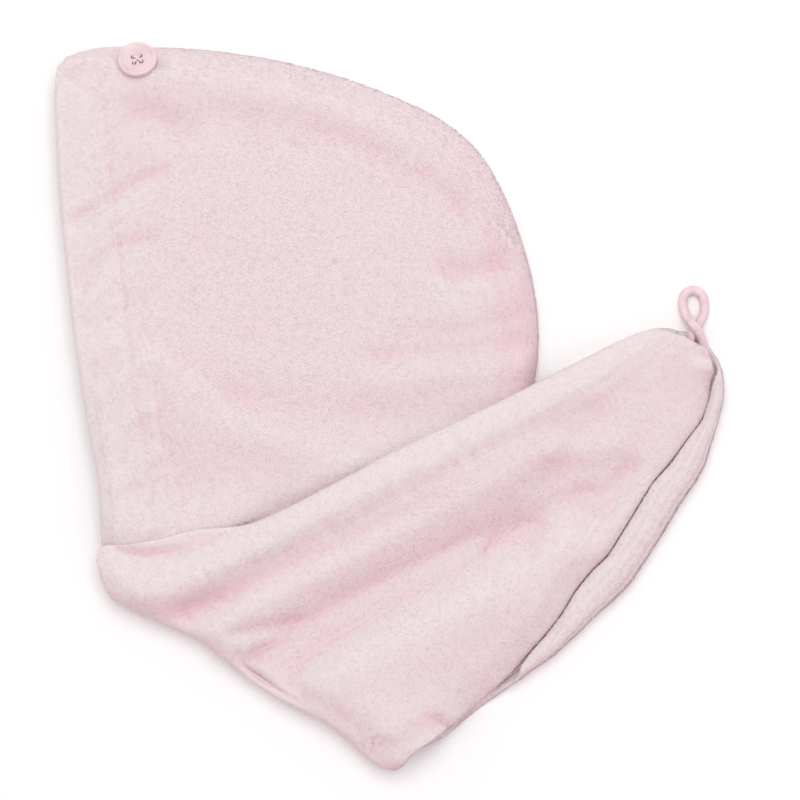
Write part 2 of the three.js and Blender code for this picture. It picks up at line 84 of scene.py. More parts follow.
def unit(vectors: np.ndarray, least: float = TINY) -> np.ndarray:
    """Brings vectors to a length of 1, except those shorter than the least length."""
    return vectors / np.maximum(np.linalg.norm(vectors, axis=-1, keepdims=True), least)


def step_lengths(line: np.ndarray) -> np.ndarray:
    """Returns how far each point of a line is from the one before."""
    return np.linalg.norm(np.diff(line, axis=0), axis=1)


def running_sum(steps: np.ndarray) -> np.ndarray:
    """Adds steps up, starting from 0."""
    return np.concatenate([[0.0], np.cumsum(steps)])


def round_ends(places: np.ndarray, radius: float) -> np.ndarray:
    """Returns the share of the full thickness at each place, round at the first and the last."""
    into = np.clip(np.minimum(places, places[-1] - places) / radius, 0.0, 1.0)
    return np.sqrt(1.0 - (1.0 - into) ** 2)


def place_object(name: str, data: bpy.types.ID) -> bpy.types.Object:
    """Puts a mesh, light or camera into the scene."""
    holder = bpy.data.objects.new(name, data)
    bpy.context.scene.collection.objects.link(holder)
    return holder


def place_mesh(name: str, mesh: bmesh.types.BMesh) -> bpy.types.Object:
    """Puts a finished bmesh into the scene, and frees it."""
    data = bpy.data.meshes.new(name)
    mesh.to_mesh(data)
    mesh.free()
    return place_object(name, data)


def tree_of(*pieces: bpy.types.Object) -> BVHTree:
    """Returns a search tree over the faces of all the pieces."""
    spots, faces = [], []
    for piece in pieces:
        first = len(spots)
        spots += [v.co for v in piece.data.vertices]
        faces += [[first + k for k in face.vertices] for face in piece.data.polygons]
    return BVHTree.FromPolygons(spots, faces)


def linear_colour(hex_code: str) -> tuple[float, float, float, float]:
    """Turns a colour as it is seen on a screen into the shader's linear one.

    Args:
        hex_code: The sRGB colour, as #rrggbb.

    Returns:
        Linear red, green and blue, and an alpha of 1.
    """
    parts = [int(hex_code[k:k + 2], 16) / 255 for k in (1, 3, 5)]
    linear = [c / 12.92 if c <= 0.04045 else ((c + 0.055) / 1.055) ** 2.4 for c in parts]
    return (*linear, 1.0)


class NodeGraph:
    """The node tree of a material or a world, filled node by node."""

    def __init__(self, owner: bpy.types.Material | bpy.types.World) -> None:
        """Starts with an empty tree."""
        owner.use_nodes = True
        owner.node_tree.nodes.clear()
        self.owner = owner

    def add(self, kind: str, inputs: dict | None = None, **settings: object) -> bpy.types.Node:
        """Adds one node.

        Args:
            kind: The node's type name.
            inputs: Socket name or number to a value, or to the socket that feeds it.
            settings: Properties of the node itself.

        Returns:
            The new node.
        """
        node = self.owner.node_tree.nodes.new(kind)
        for name, value in settings.items():
            setattr(node, name, value)
        for name, value in (inputs or {}).items():
            if isinstance(value, bpy.types.NodeSocket):
                self.owner.node_tree.links.new(value, node.inputs[name])
            else:
                node.inputs[name].default_value = value
        return node

    def noise(self, place: Socket, scale: float, detail: float, roughness: float = 0.5,
              distortion: float = 0.0) -> Socket:
        """Adds a noise with so many patches to the unit, and returns its value."""
        return self.add("ShaderNodeTexNoise", {
            "Vector": place, "Scale": scale, "Detail": detail, "Roughness": roughness,
            "Distortion": distortion}).outputs["Fac"]

    def total(self, value: Socket, *terms: tuple[Socket, float]) -> Socket:
        """Adds to a value each term times its factor, and returns the sum."""
        for term, factor in terms:
            value = self.add("ShaderNodeMath", {0: term, 1: factor, 2: value},
                             operation="MULTIPLY_ADD").outputs[0]
        return value

    def ramp(self, value: Socket, *stops: tuple[float, str]) -> Socket:
        """Adds a colour ramp, its first and last stop named before the others, and returns its colour."""
        node = self.add("ShaderNodeValToRGB", {"Fac": value})
        elements = node.color_ramp.elements
        for k, (place, colour) in enumerate(stops):
            stop = elements[k] if k < 2 else elements.new(place)
            stop.position = place
            stop.color = linear_colour(colour)
        return node.outputs["Color"]

    def bump(self, height: Socket, strength: float, depth: float, invert: bool = False) -> Socket:
        """Adds a bump, so many millimetres deep, and returns its normal."""
        return self.add("ShaderNodeBump", {"Strength": strength, "Distance": depth * MM, "Height": height},
                        invert=invert).outputs["Normal"]

    def finished(self, inputs: dict) -> bpy.types.Material:
        """Adds the shader with what goes into it, and returns the material."""
        shader = self.add("ShaderNodeBsdfPrincipled", inputs)
        self.add("ShaderNodeOutputMaterial", {"Surface": shader.outputs["BSDF"]})
        return self.owner


@dataclass(frozen=True)
class PlushFinish:
    """Warp-knitted polyester microfibre plush, brushed and sheared.

    Creases are painted a deeper pink as painted shade, and crests paler as painted light, standing in for light that
    goes down among the fibres and comes back pinker.
    """

    name: str = "microfibre_plush"
    # Colours of the painted light on crests, of the flat cloth, and of the painted shade in creases.
    crest: str = "#eadedf"
    level: str = "#e9d9db"
    crease: str = "#ebc8d0"
    # How far above and below the cloth round it a crest has its full painted light and a crease its full painted
    # shade.
    crest_mm: float = -1.4
    crease_mm: float = 2.2
    # Soft clouds where the nap leans another way.
    nap_patch_mm: float = 16.0
    # Courses of the knitted ground, which part the pile in fine lines across the cloth, so much longer than wide.
    course_mm: float = 0.9
    course_run: float = 3.5
    # Locks of pile; real fibres are 0.01 mm thick, so they are drawn as the locks they stand in.
    lock_mm: float = 1.1
    bump_mm: float = 0.3
    # What the pile's roughness takes from the tone on average, given back.
    even_tone: float = 0.375

    def build(self) -> bpy.types.Material:
        """Returns the finish as a material."""
        graph = NodeGraph(bpy.data.materials.new(self.name))
        place = graph.add("ShaderNodeTexCoord").outputs["Object"]
        cloth = graph.add("ShaderNodeUVMap", uv_map="cloth").outputs["UV"]
        fold_shade, tip = (graph.add("ShaderNodeAttribute", attribute_name=name).outputs["Fac"]
                       for name in ("fold_shade", "tip"))
        patches = graph.noise(place, PER_METRE / self.nap_patch_mm, 3.0, 0.55)
        locks = graph.noise(place, PER_METRE / self.lock_mm, 2.5, 0.65)
        stretch = graph.add("ShaderNodeMapping", {
            "Vector": cloth,
            "Scale": (PER_METRE / (self.course_run * self.course_mm), PER_METRE / self.course_mm, 1.0)})
        courses = graph.noise(stretch.outputs["Vector"], 1.0, 2.0, 0.6)
        # The painted fold shade, as 0 for painted light on a crest and 1 for painted shade in a crease, roughened by
        # the pile; tufts get paler towards their tips, partly their own colour and partly painted light.
        depth = graph.add("ShaderNodeMapRange", {
            "Value": fold_shade, "From Min": self.crest_mm, "From Max": self.crease_mm})
        rough = graph.total(depth.outputs["Result"],
                            (patches, -0.30), (locks, -0.22), (courses, -0.30), (tip, -0.10))
        level = graph.add("ShaderNodeMath", {0: rough, 1: self.even_tone}, operation="ADD")
        relief = graph.total(locks, (courses, 0.6))
        # The base colour paints light on crests and shade in creases.
        return graph.finished({
            "Base Color": graph.ramp(level.outputs[0], (0.0, self.crest), (1.0, self.crease), (0.3, self.level)),
            "Roughness": 0.95, "IOR": 1.45, "Specular IOR Level": 0.15, "Sheen Weight": 0.25,
            "Sheen Roughness": 0.45, "Sheen Tint": linear_colour("#fff0f3"),
            "Normal": graph.bump(relief, 0.5, self.bump_mm)})


@dataclass(frozen=True)
class CordFinish:
    """Circular-knitted polyester jersey, sewn into a cord: smoother and a little deeper in tone."""

    name: str = "knitted_jersey_cord"
    lit: str = "#efd8dd"
    shaded: str = "#e2c3ca"
    # Wales of the jersey run along the cord.
    wale_mm: float = 0.9

    def build(self) -> bpy.types.Material:
        """Returns the finish as a material."""
        graph = NodeGraph(bpy.data.materials.new(self.name))
        cloth = graph.add("ShaderNodeUVMap", uv_map="cloth")
        place = graph.add("ShaderNodeTexCoord")
        wales = PER_METRE / self.wale_mm
        stretch = graph.add("ShaderNodeMapping", {
            "Vector": cloth.outputs["UV"], "Scale": (0.55 * wales, wales, 1.0)})
        stitches = graph.add("ShaderNodeTexVoronoi", {
            "Vector": stretch.outputs["Vector"], "Scale": 1.0, "Randomness": 0.25})
        clouds = graph.noise(place.outputs["Object"], 260.0, 3.0)
        return graph.finished({
            "Base Color": graph.ramp(clouds, (0.3, self.shaded), (0.7, self.lit)),
            "Roughness": 0.85, "IOR": 1.45, "Specular IOR Level": 0.3, "Sheen Weight": 0.2,
            "Sheen Roughness": 0.4, "Normal": graph.bump(stitches.outputs["Distance"], 0.45, 0.25, True)})


@dataclass(frozen=True)
class ResinFinish:
    """Cast polyester button resin, turned and tumbled: satin, slightly milky, faintly clouded."""

    name: str = "cast_polyester_resin"
    lit: str = "#ecd6d9"
    shaded: str = "#e2c8cc"
    # Tumbling leaves very fine dull marks, drawn as wide as they need to show.
    tumble_mm: float = 0.6

    def build(self) -> bpy.types.Material:
        """Returns the finish as a material."""
        graph = NodeGraph(bpy.data.materials.new(self.name))
        place = graph.add("ShaderNodeTexCoord")
        clouds = graph.noise(place.outputs["Object"], 160.0, 3.0, distortion=0.6)
        marks = graph.noise(place.outputs["Object"], PER_METRE / self.tumble_mm, 2.0)
        dull = graph.add("ShaderNodeMapRange", {"Value": marks, "To Min": 0.26, "To Max": 0.44})
        return graph.finished({
            "Base Color": graph.ramp(clouds, (0.35, self.shaded), (0.65, self.lit)),
            "Roughness": dull.outputs["Result"], "IOR": 1.54, "Subsurface Weight": 0.12,
            "Subsurface Scale": 0.002, "Coat Weight": 0.15, "Coat Roughness": 0.2,
            "Normal": graph.bump(marks, 0.1, 0.05)})


@dataclass(frozen=True)
class ThreadFinish:
    """Spun polyester sewing thread: matt, with the turns of its twist."""

    name: str = "spun_polyester_thread"
    colour: str = "#f2dfe2"
    dark: str = "#e6cfd4"
    twist_mm: float = 0.45

    def build(self) -> bpy.types.Material:
        """Returns the finish as a material."""
        graph = NodeGraph(bpy.data.materials.new(self.name))
        place = graph.add("ShaderNodeTexCoord")
        turned = graph.add("ShaderNodeMapping", {
            "Vector": place.outputs["Object"], "Rotation": (0.3, 0.2, 0.8)})
        twist = graph.add("ShaderNodeTexWave", {
            "Vector": turned.outputs["Vector"], "Scale": 0.5 / (self.twist_mm * MM), "Distortion": 1.5},
            bands_direction="DIAGONAL")
        return graph.finished({
            "Base Color": graph.ramp(twist.outputs["Fac"], (0.0, self.dark), (1.0, self.colour)),
            "Roughness": 0.8, "IOR": 1.5, "Sheen Weight": 0.2,
            "Normal": graph.bump(twist.outputs["Fac"], 0.4, 0.1)})


class PanelNode(Enum):
    """The CAD nodes of the towel's two panels."""

    OUTER = "outer_panel"
    INNER = "inner_panel"


@dataclass(frozen=True)
class Fold:
    """A soft ridge or dent in the cloth, along a line seen from above.

    Args:
        name: What it is; nothing reads it.
        line: Its points, in the picture's pixels.
        width: How far it spreads on its left and right side, in millimetres.
        height: Its height, negative for a dent.
        ends: The share of that height at the line's start and at its end.
    """

    name: str
    line: Sequence[tuple[float, float]]
    width: tuple[float, float]
    height: float
    ends: tuple[float, float] = (1.0, 1.0)

    def rise(self, x: np.ndarray, y: np.ndarray) -> np.ndarray:
        """Returns the height that the fold adds at each place."""
        away, along = distance_to_line(x, y, picture_line(*self.line))
        spread = np.where(away < 0, self.width[0], self.width[1])
        lengthwise = self.ends[0] + (self.ends[1] - self.ends[0]) * along
        return self.height * lengthwise * bell(away, spread)


def distance_to_line(x: np.ndarray, y: np.ndarray,
                     line: Sequence[tuple[float, float]]) -> tuple[np.ndarray, np.ndarray]:
    """Measures how far places are from a broken line.

    Args:
        x: The places' x.
        y: The places' y.
        line: The line's points.

    Returns:
        The distance, negative on the line's left side, and the share of the line passed.
    """
    nearest = np.full(np.shape(x), np.inf)
    side = np.ones(np.shape(x))
    passed = np.zeros(np.shape(x))
    lengths = [math.dist(a, b) for a, b in zip(line, line[1:])]
    before = 0.0
    for (ax, ay), (bx, by), length in zip(line, line[1:], lengths):
        dx, dy = bx - ax, by - ay
        along = np.clip(((x - ax) * dx + (y - ay) * dy) / length ** 2, 0.0, 1.0)
        away = np.hypot(x - ax - along * dx, y - ay - along * dy)
        closer = away < nearest
        nearest = np.where(closer, away, nearest)
        side = np.where(closer, np.where(dx * (y - ay) - dy * (x - ax) > 0, -1.0, 1.0), side)
        passed = np.where(closer, (before + along * length) / sum(lengths), passed)
        before += length
    return side * nearest, passed


def picture_line(*pixels: tuple[float, float]) -> tuple[tuple[float, float], ...]:
    """Turns points of an 800 by 800 picture, taken straight down, into the frame's millimetres."""
    return tuple((MM_PER_PIXEL * (px - ORIGIN_PIXEL[0]) + TOWEL_ORIGIN[0],
                  MM_PER_PIXEL * (ORIGIN_PIXEL[1] - py) + TOWEL_ORIGIN[1]) for px, py in pixels)


def curve_through(values: np.ndarray, knots: np.ndarray, targets: np.ndarray) -> np.ndarray:
    """Reads a smooth curve through rows of values at new places.

    Args:
        values: One row of values for each knot.
        knots: Where the rows are, rising.
        targets: Where the curve is read.

    Returns:
        One row of values for each target.
    """
    gaps = np.diff(knots)
    shape = (-1,) + (1,) * (values.ndim - 1)
    slopes = np.diff(values, axis=0) / gaps.reshape(shape)
    tangents = np.empty_like(values)
    tangents[0] = slopes[0]
    tangents[-1] = slopes[-1]
    before, after = gaps[:-1].reshape(shape), gaps[1:].reshape(shape)
    tangents[1:-1] = (after * slopes[:-1] + before * slopes[1:]) / (before + after)
    k = np.clip(np.searchsorted(knots, targets, side="right") - 1, 0, len(knots) - 2)
    gap = gaps[k].reshape(shape)
    t = ((targets - knots[k]) / gaps[k]).reshape(shape)
    return ((2 * t ** 3 - 3 * t ** 2 + 1) * values[k] + (t ** 3 - 2 * t ** 2 + t) * gap * tangents[k]
            + (3 * t ** 2 - 2 * t ** 3) * values[k + 1] + (t ** 3 - t ** 2) * gap * tangents[k + 1])


class CadPanel:
    """The rows of rings that a panel's CAD wall is made of."""

    RING = 40
    COLUMNS = 19
    # The hood's corner lies north of this, in metres.
    CORNER_Y = 0.1

    def __init__(self, node: bpy.types.Object) -> None:
        """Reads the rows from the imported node, which stays as it is."""
        mesh = bmesh.new()
        mesh.from_mesh(node.data)
        bmesh.ops.remove_doubles(mesh, verts=mesh.verts[:], dist=2e-6)
        self._near = {v: {e.other_vert(v) for e in v.link_edges} for v in mesh.verts}
        rings = self._walk(len(mesh.verts) // self.RING)
        points = np.array([[tuple(v.co) for v in ring] for ring in rings]) / MM
        mesh.free()
        front = points[:, :self.COLUMNS]
        back = points[:, 2 * self.COLUMNS - np.arange(self.COLUMNS)]
        self.middle = 0.5 * (front + back)
        self.half = 0.5 * (front - back)

    def _ahead(self, vertex: bmesh.types.BMVert, back: bmesh.types.BMVert) -> bmesh.types.BMVert:
        """Returns the neighbour straight across a vertex from another neighbour."""
        beside = self._near[vertex] & self._near[back]
        taken = set().union(*(self._near[b] for b in beside))
        return (self._near[vertex] - {back} - beside - taken).pop()

    def _walk(self, count: int) -> list[list[bmesh.types.BMVert]]:
        """Follows the mesh ring by ring, from the hood's top corner to the tail's tip.

        Args:
            count: How many rings there are.

        Returns:
            The rings, each from the open edge over the front to the seam and back underneath.
        """
        noses = [v for v, near in self._near.items() if len(near) == 4 and v.co.y > self.CORNER_Y]
        start = min(noses, key=lambda v: v.co.y)
        far = sorted(self._near[start], key=lambda v: (v.co - start.co).length)[2:]
        second = sorted(far, key=lambda v: v.co.z)
        while (following := self._ahead(second[-1], second[-2])) is not second[0]:
            second.append(following)
        first = [start]
        for k in range(1, self.RING):
            shared = self._near[second[k]] & self._near[second[(k + 1) % self.RING]]
            first.append((shared & self._near[first[-1]]).pop())
        rings = [first, second]
        while len(rings) < count:
            before, now = set(rings[-2]), rings[-1]
            rings.append([((self._near[now[k - 1]] & self._near[now[k]]) - before - set(now)).pop()
                          for k in range(self.RING)])
        return [ring[1:] + ring[:1] for ring in rings]


def hollows(rings: np.ndarray, rounds: int) -> np.ndarray:
    """Measures how far each point of a closed skin lies below what is round it.

    Args:
        rings: Rows by ring points by 3, in millimetres; each ring ends where it starts.
        rounds: How wide a surrounding counts.

    Returns:
        The depth in millimetres, positive in a crease and negative on a crest.
    """
    points = rings[:, :-1]
    even = points
    for _ in range(rounds):
        padded = np.concatenate([even[:1], even, even[-1:]])
        even = 0.5 * even + 0.25 * (padded[:-2] + padded[2:])
        even = 0.5 * even + 0.25 * (np.roll(even, 1, axis=1) + np.roll(even, -1, axis=1))
    around = np.roll(points, -1, axis=1) - np.roll(points, 1, axis=1)
    normal = unit(np.cross(around, np.gradient(points, axis=0)))
    depth = ((even - points) * normal).sum(axis=2)
    # The normals' way out is told from one face to the other, away from both edges.
    face = slice(5, points.shape[1] // 2 - 5)
    thick = points[:, face] - points[:, ::-1][:, face]
    outward = np.sign((thick * normal[:, face]).sum())
    depth = np.concatenate([depth, depth[:, :1]], axis=1) * outward
    return np.where(depth < 0, CREST_LIMIT * np.tanh(depth / CREST_LIMIT),
                    CREASE_LIMIT * np.tanh(depth / CREASE_LIMIT))


def sleeve(name: str, rings: np.ndarray, u: np.ndarray, v: np.ndarray,
           tone: np.ndarray | float = 0.0, away_shade: float = 0.0) -> bpy.types.Object:
    """Makes a closed skin from rows of rings, by wrapping a grid round them.

    Args:
        name: The object's name.
        rings: Rows by ring points by 3, in millimetres; each ring ends where it starts.
        u: Distance round the ring at each of its points, in millimetres.
        v: Distance along the rows, in millimetres.
        tone: Painted light and shade added to each point's depth within the folds, in millimetres.
        away_shade: Painted shade added on a wall that faces -Y, away from the soft box, in millimetres.

    Returns:
        The object, with its places in its mesh and a UV map named cloth, in metres.
    """
    rows, width = rings.shape[:2]
    mesh = bmesh.new()
    cloth = mesh.loops.layers.uv.new("cloth")
    fold_shade = mesh.verts.layers.float.new("fold_shade")
    bmesh.ops.create_grid(mesh, x_segments=width - 1, y_segments=rows - 1, size=1.0)
    mesh.verts.ensure_lookup_table()
    mesh.verts.index_update()
    # The fold shade that the material paints: the depth within the folds, plus painted light and shade.
    depth = hollows(rings, 12) + tone
    for vert, point, deep in zip(mesh.verts, rings.reshape(-1, 3) * MM, depth.ravel()):
        vert.co = point
        vert[fold_shade] = deep
    for face in mesh.faces:
        face.smooth = True
        for loop in face.loops:
            row, column = divmod(loop.vert.index, width)
            loop[cloth].uv = (u[column] * MM, v[row] * MM)
    bmesh.ops.remove_doubles(mesh, verts=mesh.verts[:], dist=1e-6)
    bmesh.ops.recalc_face_normals(mesh, faces=mesh.faces[:])
    mesh.normal_update()
    # Painted shade on walls that face -Y, away from the soft box.
    for vert in mesh.verts:
        vert[fold_shade] -= away_shade * vert.normal.y
    return place_mesh(name, mesh)


def dress(piece: bpy.types.Object, finish: bpy.types.Material) -> None:
    """Gives a piece its material and its place in the frame, and reports it.

    Args:
        piece: The finished piece.
        finish: Its material.
    """
    piece.data.materials.clear()
    piece.data.materials.append(finish)
    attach(piece, "root")
    log.info("%s: %d faces", piece.name, len(piece.data.polygons))


class SoftPanel:
    """One panel of plush, built from its CAD wall's rows as a fine closed sheet of cloth."""

    # The CAD wall's row that lies on the fold; the hood ends three rows before it, the tail starts three after.
    FOLD_ROW = 27
    # The rounded edge: how far its outermost point stands out, its steps and its radius.
    NOSE = 1.2
    NOSE_STEPS = 4
    EDGE_ROUND = 2.6
    # The lowest that the cloth comes to the table.
    TABLE_GAP = 0.02

    def __init__(self, name: str, node: PanelNode, spacing: float) -> None:
        """Reads the CAD rows and lays finer ones through them.

        Args:
            name: The finished piece's name.
            node: The CAD node that it replaces.
            spacing: The distance between the fine mesh's points, in millimetres.
        """
        self.name = name
        self.node = node
        cad = CadPanel(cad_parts[node.value])
        middle, half = self._with_noses(cad.middle, cad.half)
        across = self._knots(middle, 1)
        along = self._knots(middle, 0)
        self.across = self._spaced(across[-1], spacing)
        self.along = self._spaced(along[-1], spacing)
        self.row_place = np.interp(self.along, along, np.arange(len(along)))
        self.column_place = np.interp(self.across, across, np.arange(len(across)) - 1.0)
        self.middle = self._resample(middle, along, across)
        self.half = self._resample(half, along, across)

    def _with_noses(self, middle: np.ndarray, half: np.ndarray) -> tuple[np.ndarray, np.ndarray]:
        """Adds the rounded edge's outermost point at both sides of every row."""
        def beyond(edge: np.ndarray, inner: np.ndarray) -> np.ndarray:
            """Returns the points that lie past an edge, in line with the cloth."""
            return (edge + self.NOSE * unit(edge - inner))[:, None]
        first = beyond(middle[:, 0], middle[:, 1])
        last = beyond(middle[:, -1], middle[:, -2])
        middle = np.concatenate([first, middle, last], axis=1)
        half = np.concatenate([half[:, :1], half, half[:, -1:]], axis=1)
        return middle, half

    @staticmethod
    def _knots(middle: np.ndarray, axis: int) -> np.ndarray:
        """Returns how far apart the CAD columns or rows are on average, added up."""
        steps = np.linalg.norm(np.diff(middle, axis=axis), axis=-1)
        return running_sum(steps.mean(axis=1 - axis))

    def _spaced(self, length: float, spacing: float) -> np.ndarray:
        """Spaces places evenly, and closer together round both ends' noses."""
        turn = np.linspace(0.0, 0.5 * math.pi, self.NOSE_STEPS + 1)[:-1]
        rounded = self.EDGE_ROUND * (1.0 - np.cos(turn))
        count = int((length - 2 * self.EDGE_ROUND) / spacing)
        inside = np.linspace(self.EDGE_ROUND, length - self.EDGE_ROUND, count)
        return np.concatenate([rounded, inside, length - rounded[::-1]])

    def _resample(self, values: np.ndarray, along: np.ndarray, across: np.ndarray) -> np.ndarray:
        """Reads a grid of points at the fine rows and columns."""
        tall = curve_through(values, along, self.along)
        return curve_through(tall.swapaxes(0, 1), across, self.across).swapaxes(0, 1)

    @property
    def hood_share(self) -> np.ndarray:
        """1 in the hood's rows, 0 from the fold on."""
        return 1.0 - self.past_fold(-6.0, -2.5)

    @property
    def tail_share(self) -> np.ndarray:
        """1 in the tail's rows, 0 up to the fold."""
        return self.past_fold(2.5, 5.5)

    @property
    def roll_share(self) -> np.ndarray:
        """1 in the rows that go round the fold, 0 elsewhere."""
        return (1.0 - self.hood_share) * (1.0 - self.tail_share)

    def past_fold(self, start: float, end: float) -> np.ndarray:
        """Returns 0 up to a row and 1 from another on, both counted from the fold's own."""
        return smooth_step(self.FOLD_ROW + start, self.FOLD_ROW + end, self.row_place)[:, None]

    def off_seam(self, start: float, end: float) -> np.ndarray:
        """Returns 0 up to a distance from the seam's edge, and 1 from a greater one on."""
        return smooth_step(start, end, self.across[-1] - self.across)[None, :]

    def off_hem(self, start: float, end: float) -> np.ndarray:
        """Returns 0 up to a distance from the hemmed edge, and 1 from a greater one on."""
        return smooth_step(start, end, self.across)[None, :]

    def edge_share(self, width: float) -> np.ndarray:
        """Returns 0 on both edges, and 1 further in than the given width."""
        depth = np.minimum(self.across, self.across[-1] - self.across)
        return smooth_step(0.0, width, depth)[None, :]

    def seam_distance(self) -> np.ndarray:
        """Returns how far each point is from its row's seam, seen from above."""
        return np.linalg.norm(self.middle[:, :, :2] - self.middle[:, -1:, :2], axis=2)

    def hem_distance(self) -> np.ndarray:
        """Returns how far each point is from its row's hemmed edge."""
        return np.linalg.norm(self.middle - self.middle[:, :1], axis=2)

    def settle_walls(self, rounds: int) -> None:
        """Evens out the cloth's thickness, by drawing each point so often to its neighbours."""
        self.half = np.stack([settle(self.half[:, :, k], np.ones((1, 1)), rounds) for k in range(3)], axis=2)

    def rest_on_table(self) -> None:
        """Lifts what the smooth curves have taken below the table's top."""
        lowest = self.middle[:, :, 2] - np.abs(self.half[:, :, 2])
        self.middle[:, :, 2] += np.maximum(0.0, self.TABLE_GAP - lowest)

    def _hem_light_seam_shade(self) -> np.ndarray:
        """Returns the painted light and shade for the fold shade: paler painted light on the doubled hem, deeper
        painted shade by the hood's seam.
        """
        hem = 1.0 - self.off_hem(HEM_DEPTH - 14.0, HEM_DEPTH + 12.0)
        seam = 1.0 - self.off_seam(5.0, 34.0)
        return 1.4 * seam * self.hood_share - 0.8 * hem * (1.0 - 0.6 * self.roll_share)

    def outside(self) -> np.ndarray:
        """Returns the points on the panel's outer face, the one that shows when the towel is worn."""
        return self.middle + (self.half if self.node is PanelNode.INNER else -self.half)

    def build(self) -> bpy.types.Object:
        """Makes the closed cloth mesh."""
        rows, columns = (round_ends(places, self.EDGE_ROUND) for places in (self.along, self.across))
        half = self.half * (rows[:, None, None] * columns[None, :, None])
        front = self.middle + half
        back = (self.middle - half)[:, ::-1]
        rings = np.concatenate([front, back[:, 1:]], axis=1)
        rings[:, -1] = rings[:, 0]
        u = np.concatenate([self.across, 2 * self.across[-1] - self.across[::-1][1:]])
        # Painted light on the hem and painted shade by the seam, for both faces.
        tone = self._hem_light_seam_shade()
        tone = np.concatenate([tone, tone[:, ::-1][:, 1:]], axis=1)
        return sleeve(self.name, rings, u, self.along, tone, AWAY_SHADE)


# The crown seam's groove in the tail, between its upper panel and the rolled-up edge of the lower one.
TAIL_GROOVE = picture_line(
    (701, 347), (708, 353), (712, 361), (713, 374), (710, 398), (703, 420), (686, 441), (672, 461),
    (653, 482), (637, 509), (624, 530), (608, 556), (593, 569), (575, 591), (562, 614), (546, 635),
    (531, 651), (513, 672), (491, 692), (458, 720), (418, 755))

# The tail's outline beyond that groove.
TAIL_OUTLINE = picture_line(
    (706, 336), (714, 348), (721, 358), (727, 375), (724, 400), (719, 420), (714, 440), (709, 460),
    (699, 480), (685, 500), (673, 520), (661, 540), (648, 560), (635, 580), (618, 600), (597, 620),
    (574, 640), (551, 660), (524, 680), (494, 700), (463, 720), (439, 740), (405, 765))

# The line that the tail is folded along, and how far its rolled cloth reaches past it.
FOLD_LINE = ((-155.55, -85.3), (8.95, -188.3))
FOLD_REACH = (
    (0.0, 2.5), (0.022, 7.8), (0.04, 10.6), (0.075, 14.1), (0.13, 13.6), (0.19, 12.3), (0.26, 9.4),
    (0.34, 7.2), (0.43, 9.5), (0.52, 11.2), (0.617, 12.0), (0.68, 11.0), (0.745, 9.1), (0.836, 10.8),
    (0.9, 13.6), (0.955, 14.4), (0.985, 11.0), (1.0, 7.0))

# How far the hem is turned in, to its line of stitches, and how long its puckers run, in millimetres.
HEM_DEPTH = 29.0
PUCKER_LENGTHS = (8.5, 11.2, 15.1, 22.0)

# The middle heights of the flat hood and tail, above which their cloth is plump, in millimetres.
FLAT_HOOD = 4.9
FLAT_TAIL = 5.4

# The button's seat on the hood's corner.
BUTTON_SPOT = (-137.0, 185.7)

# The CAD column from which the tail's lower panel is rolled up, and how far that laps under the groove.
ROLL_COLUMN = 13.5
GROOVE_OVERLAP = 0.7

# The hem of the tail's upper panel, where it lies on the hood.
TAIL_HEM = picture_line((103, 575), (204, 548), (300, 502), (380, 460), (430, 440), (530, 388), (598, 354),
                        (658, 330))

# The line where the source's hood begins to be pressed down by the tail.
PRESS_LINE = ((-153.05, -88.8), (134.45, 36.7))

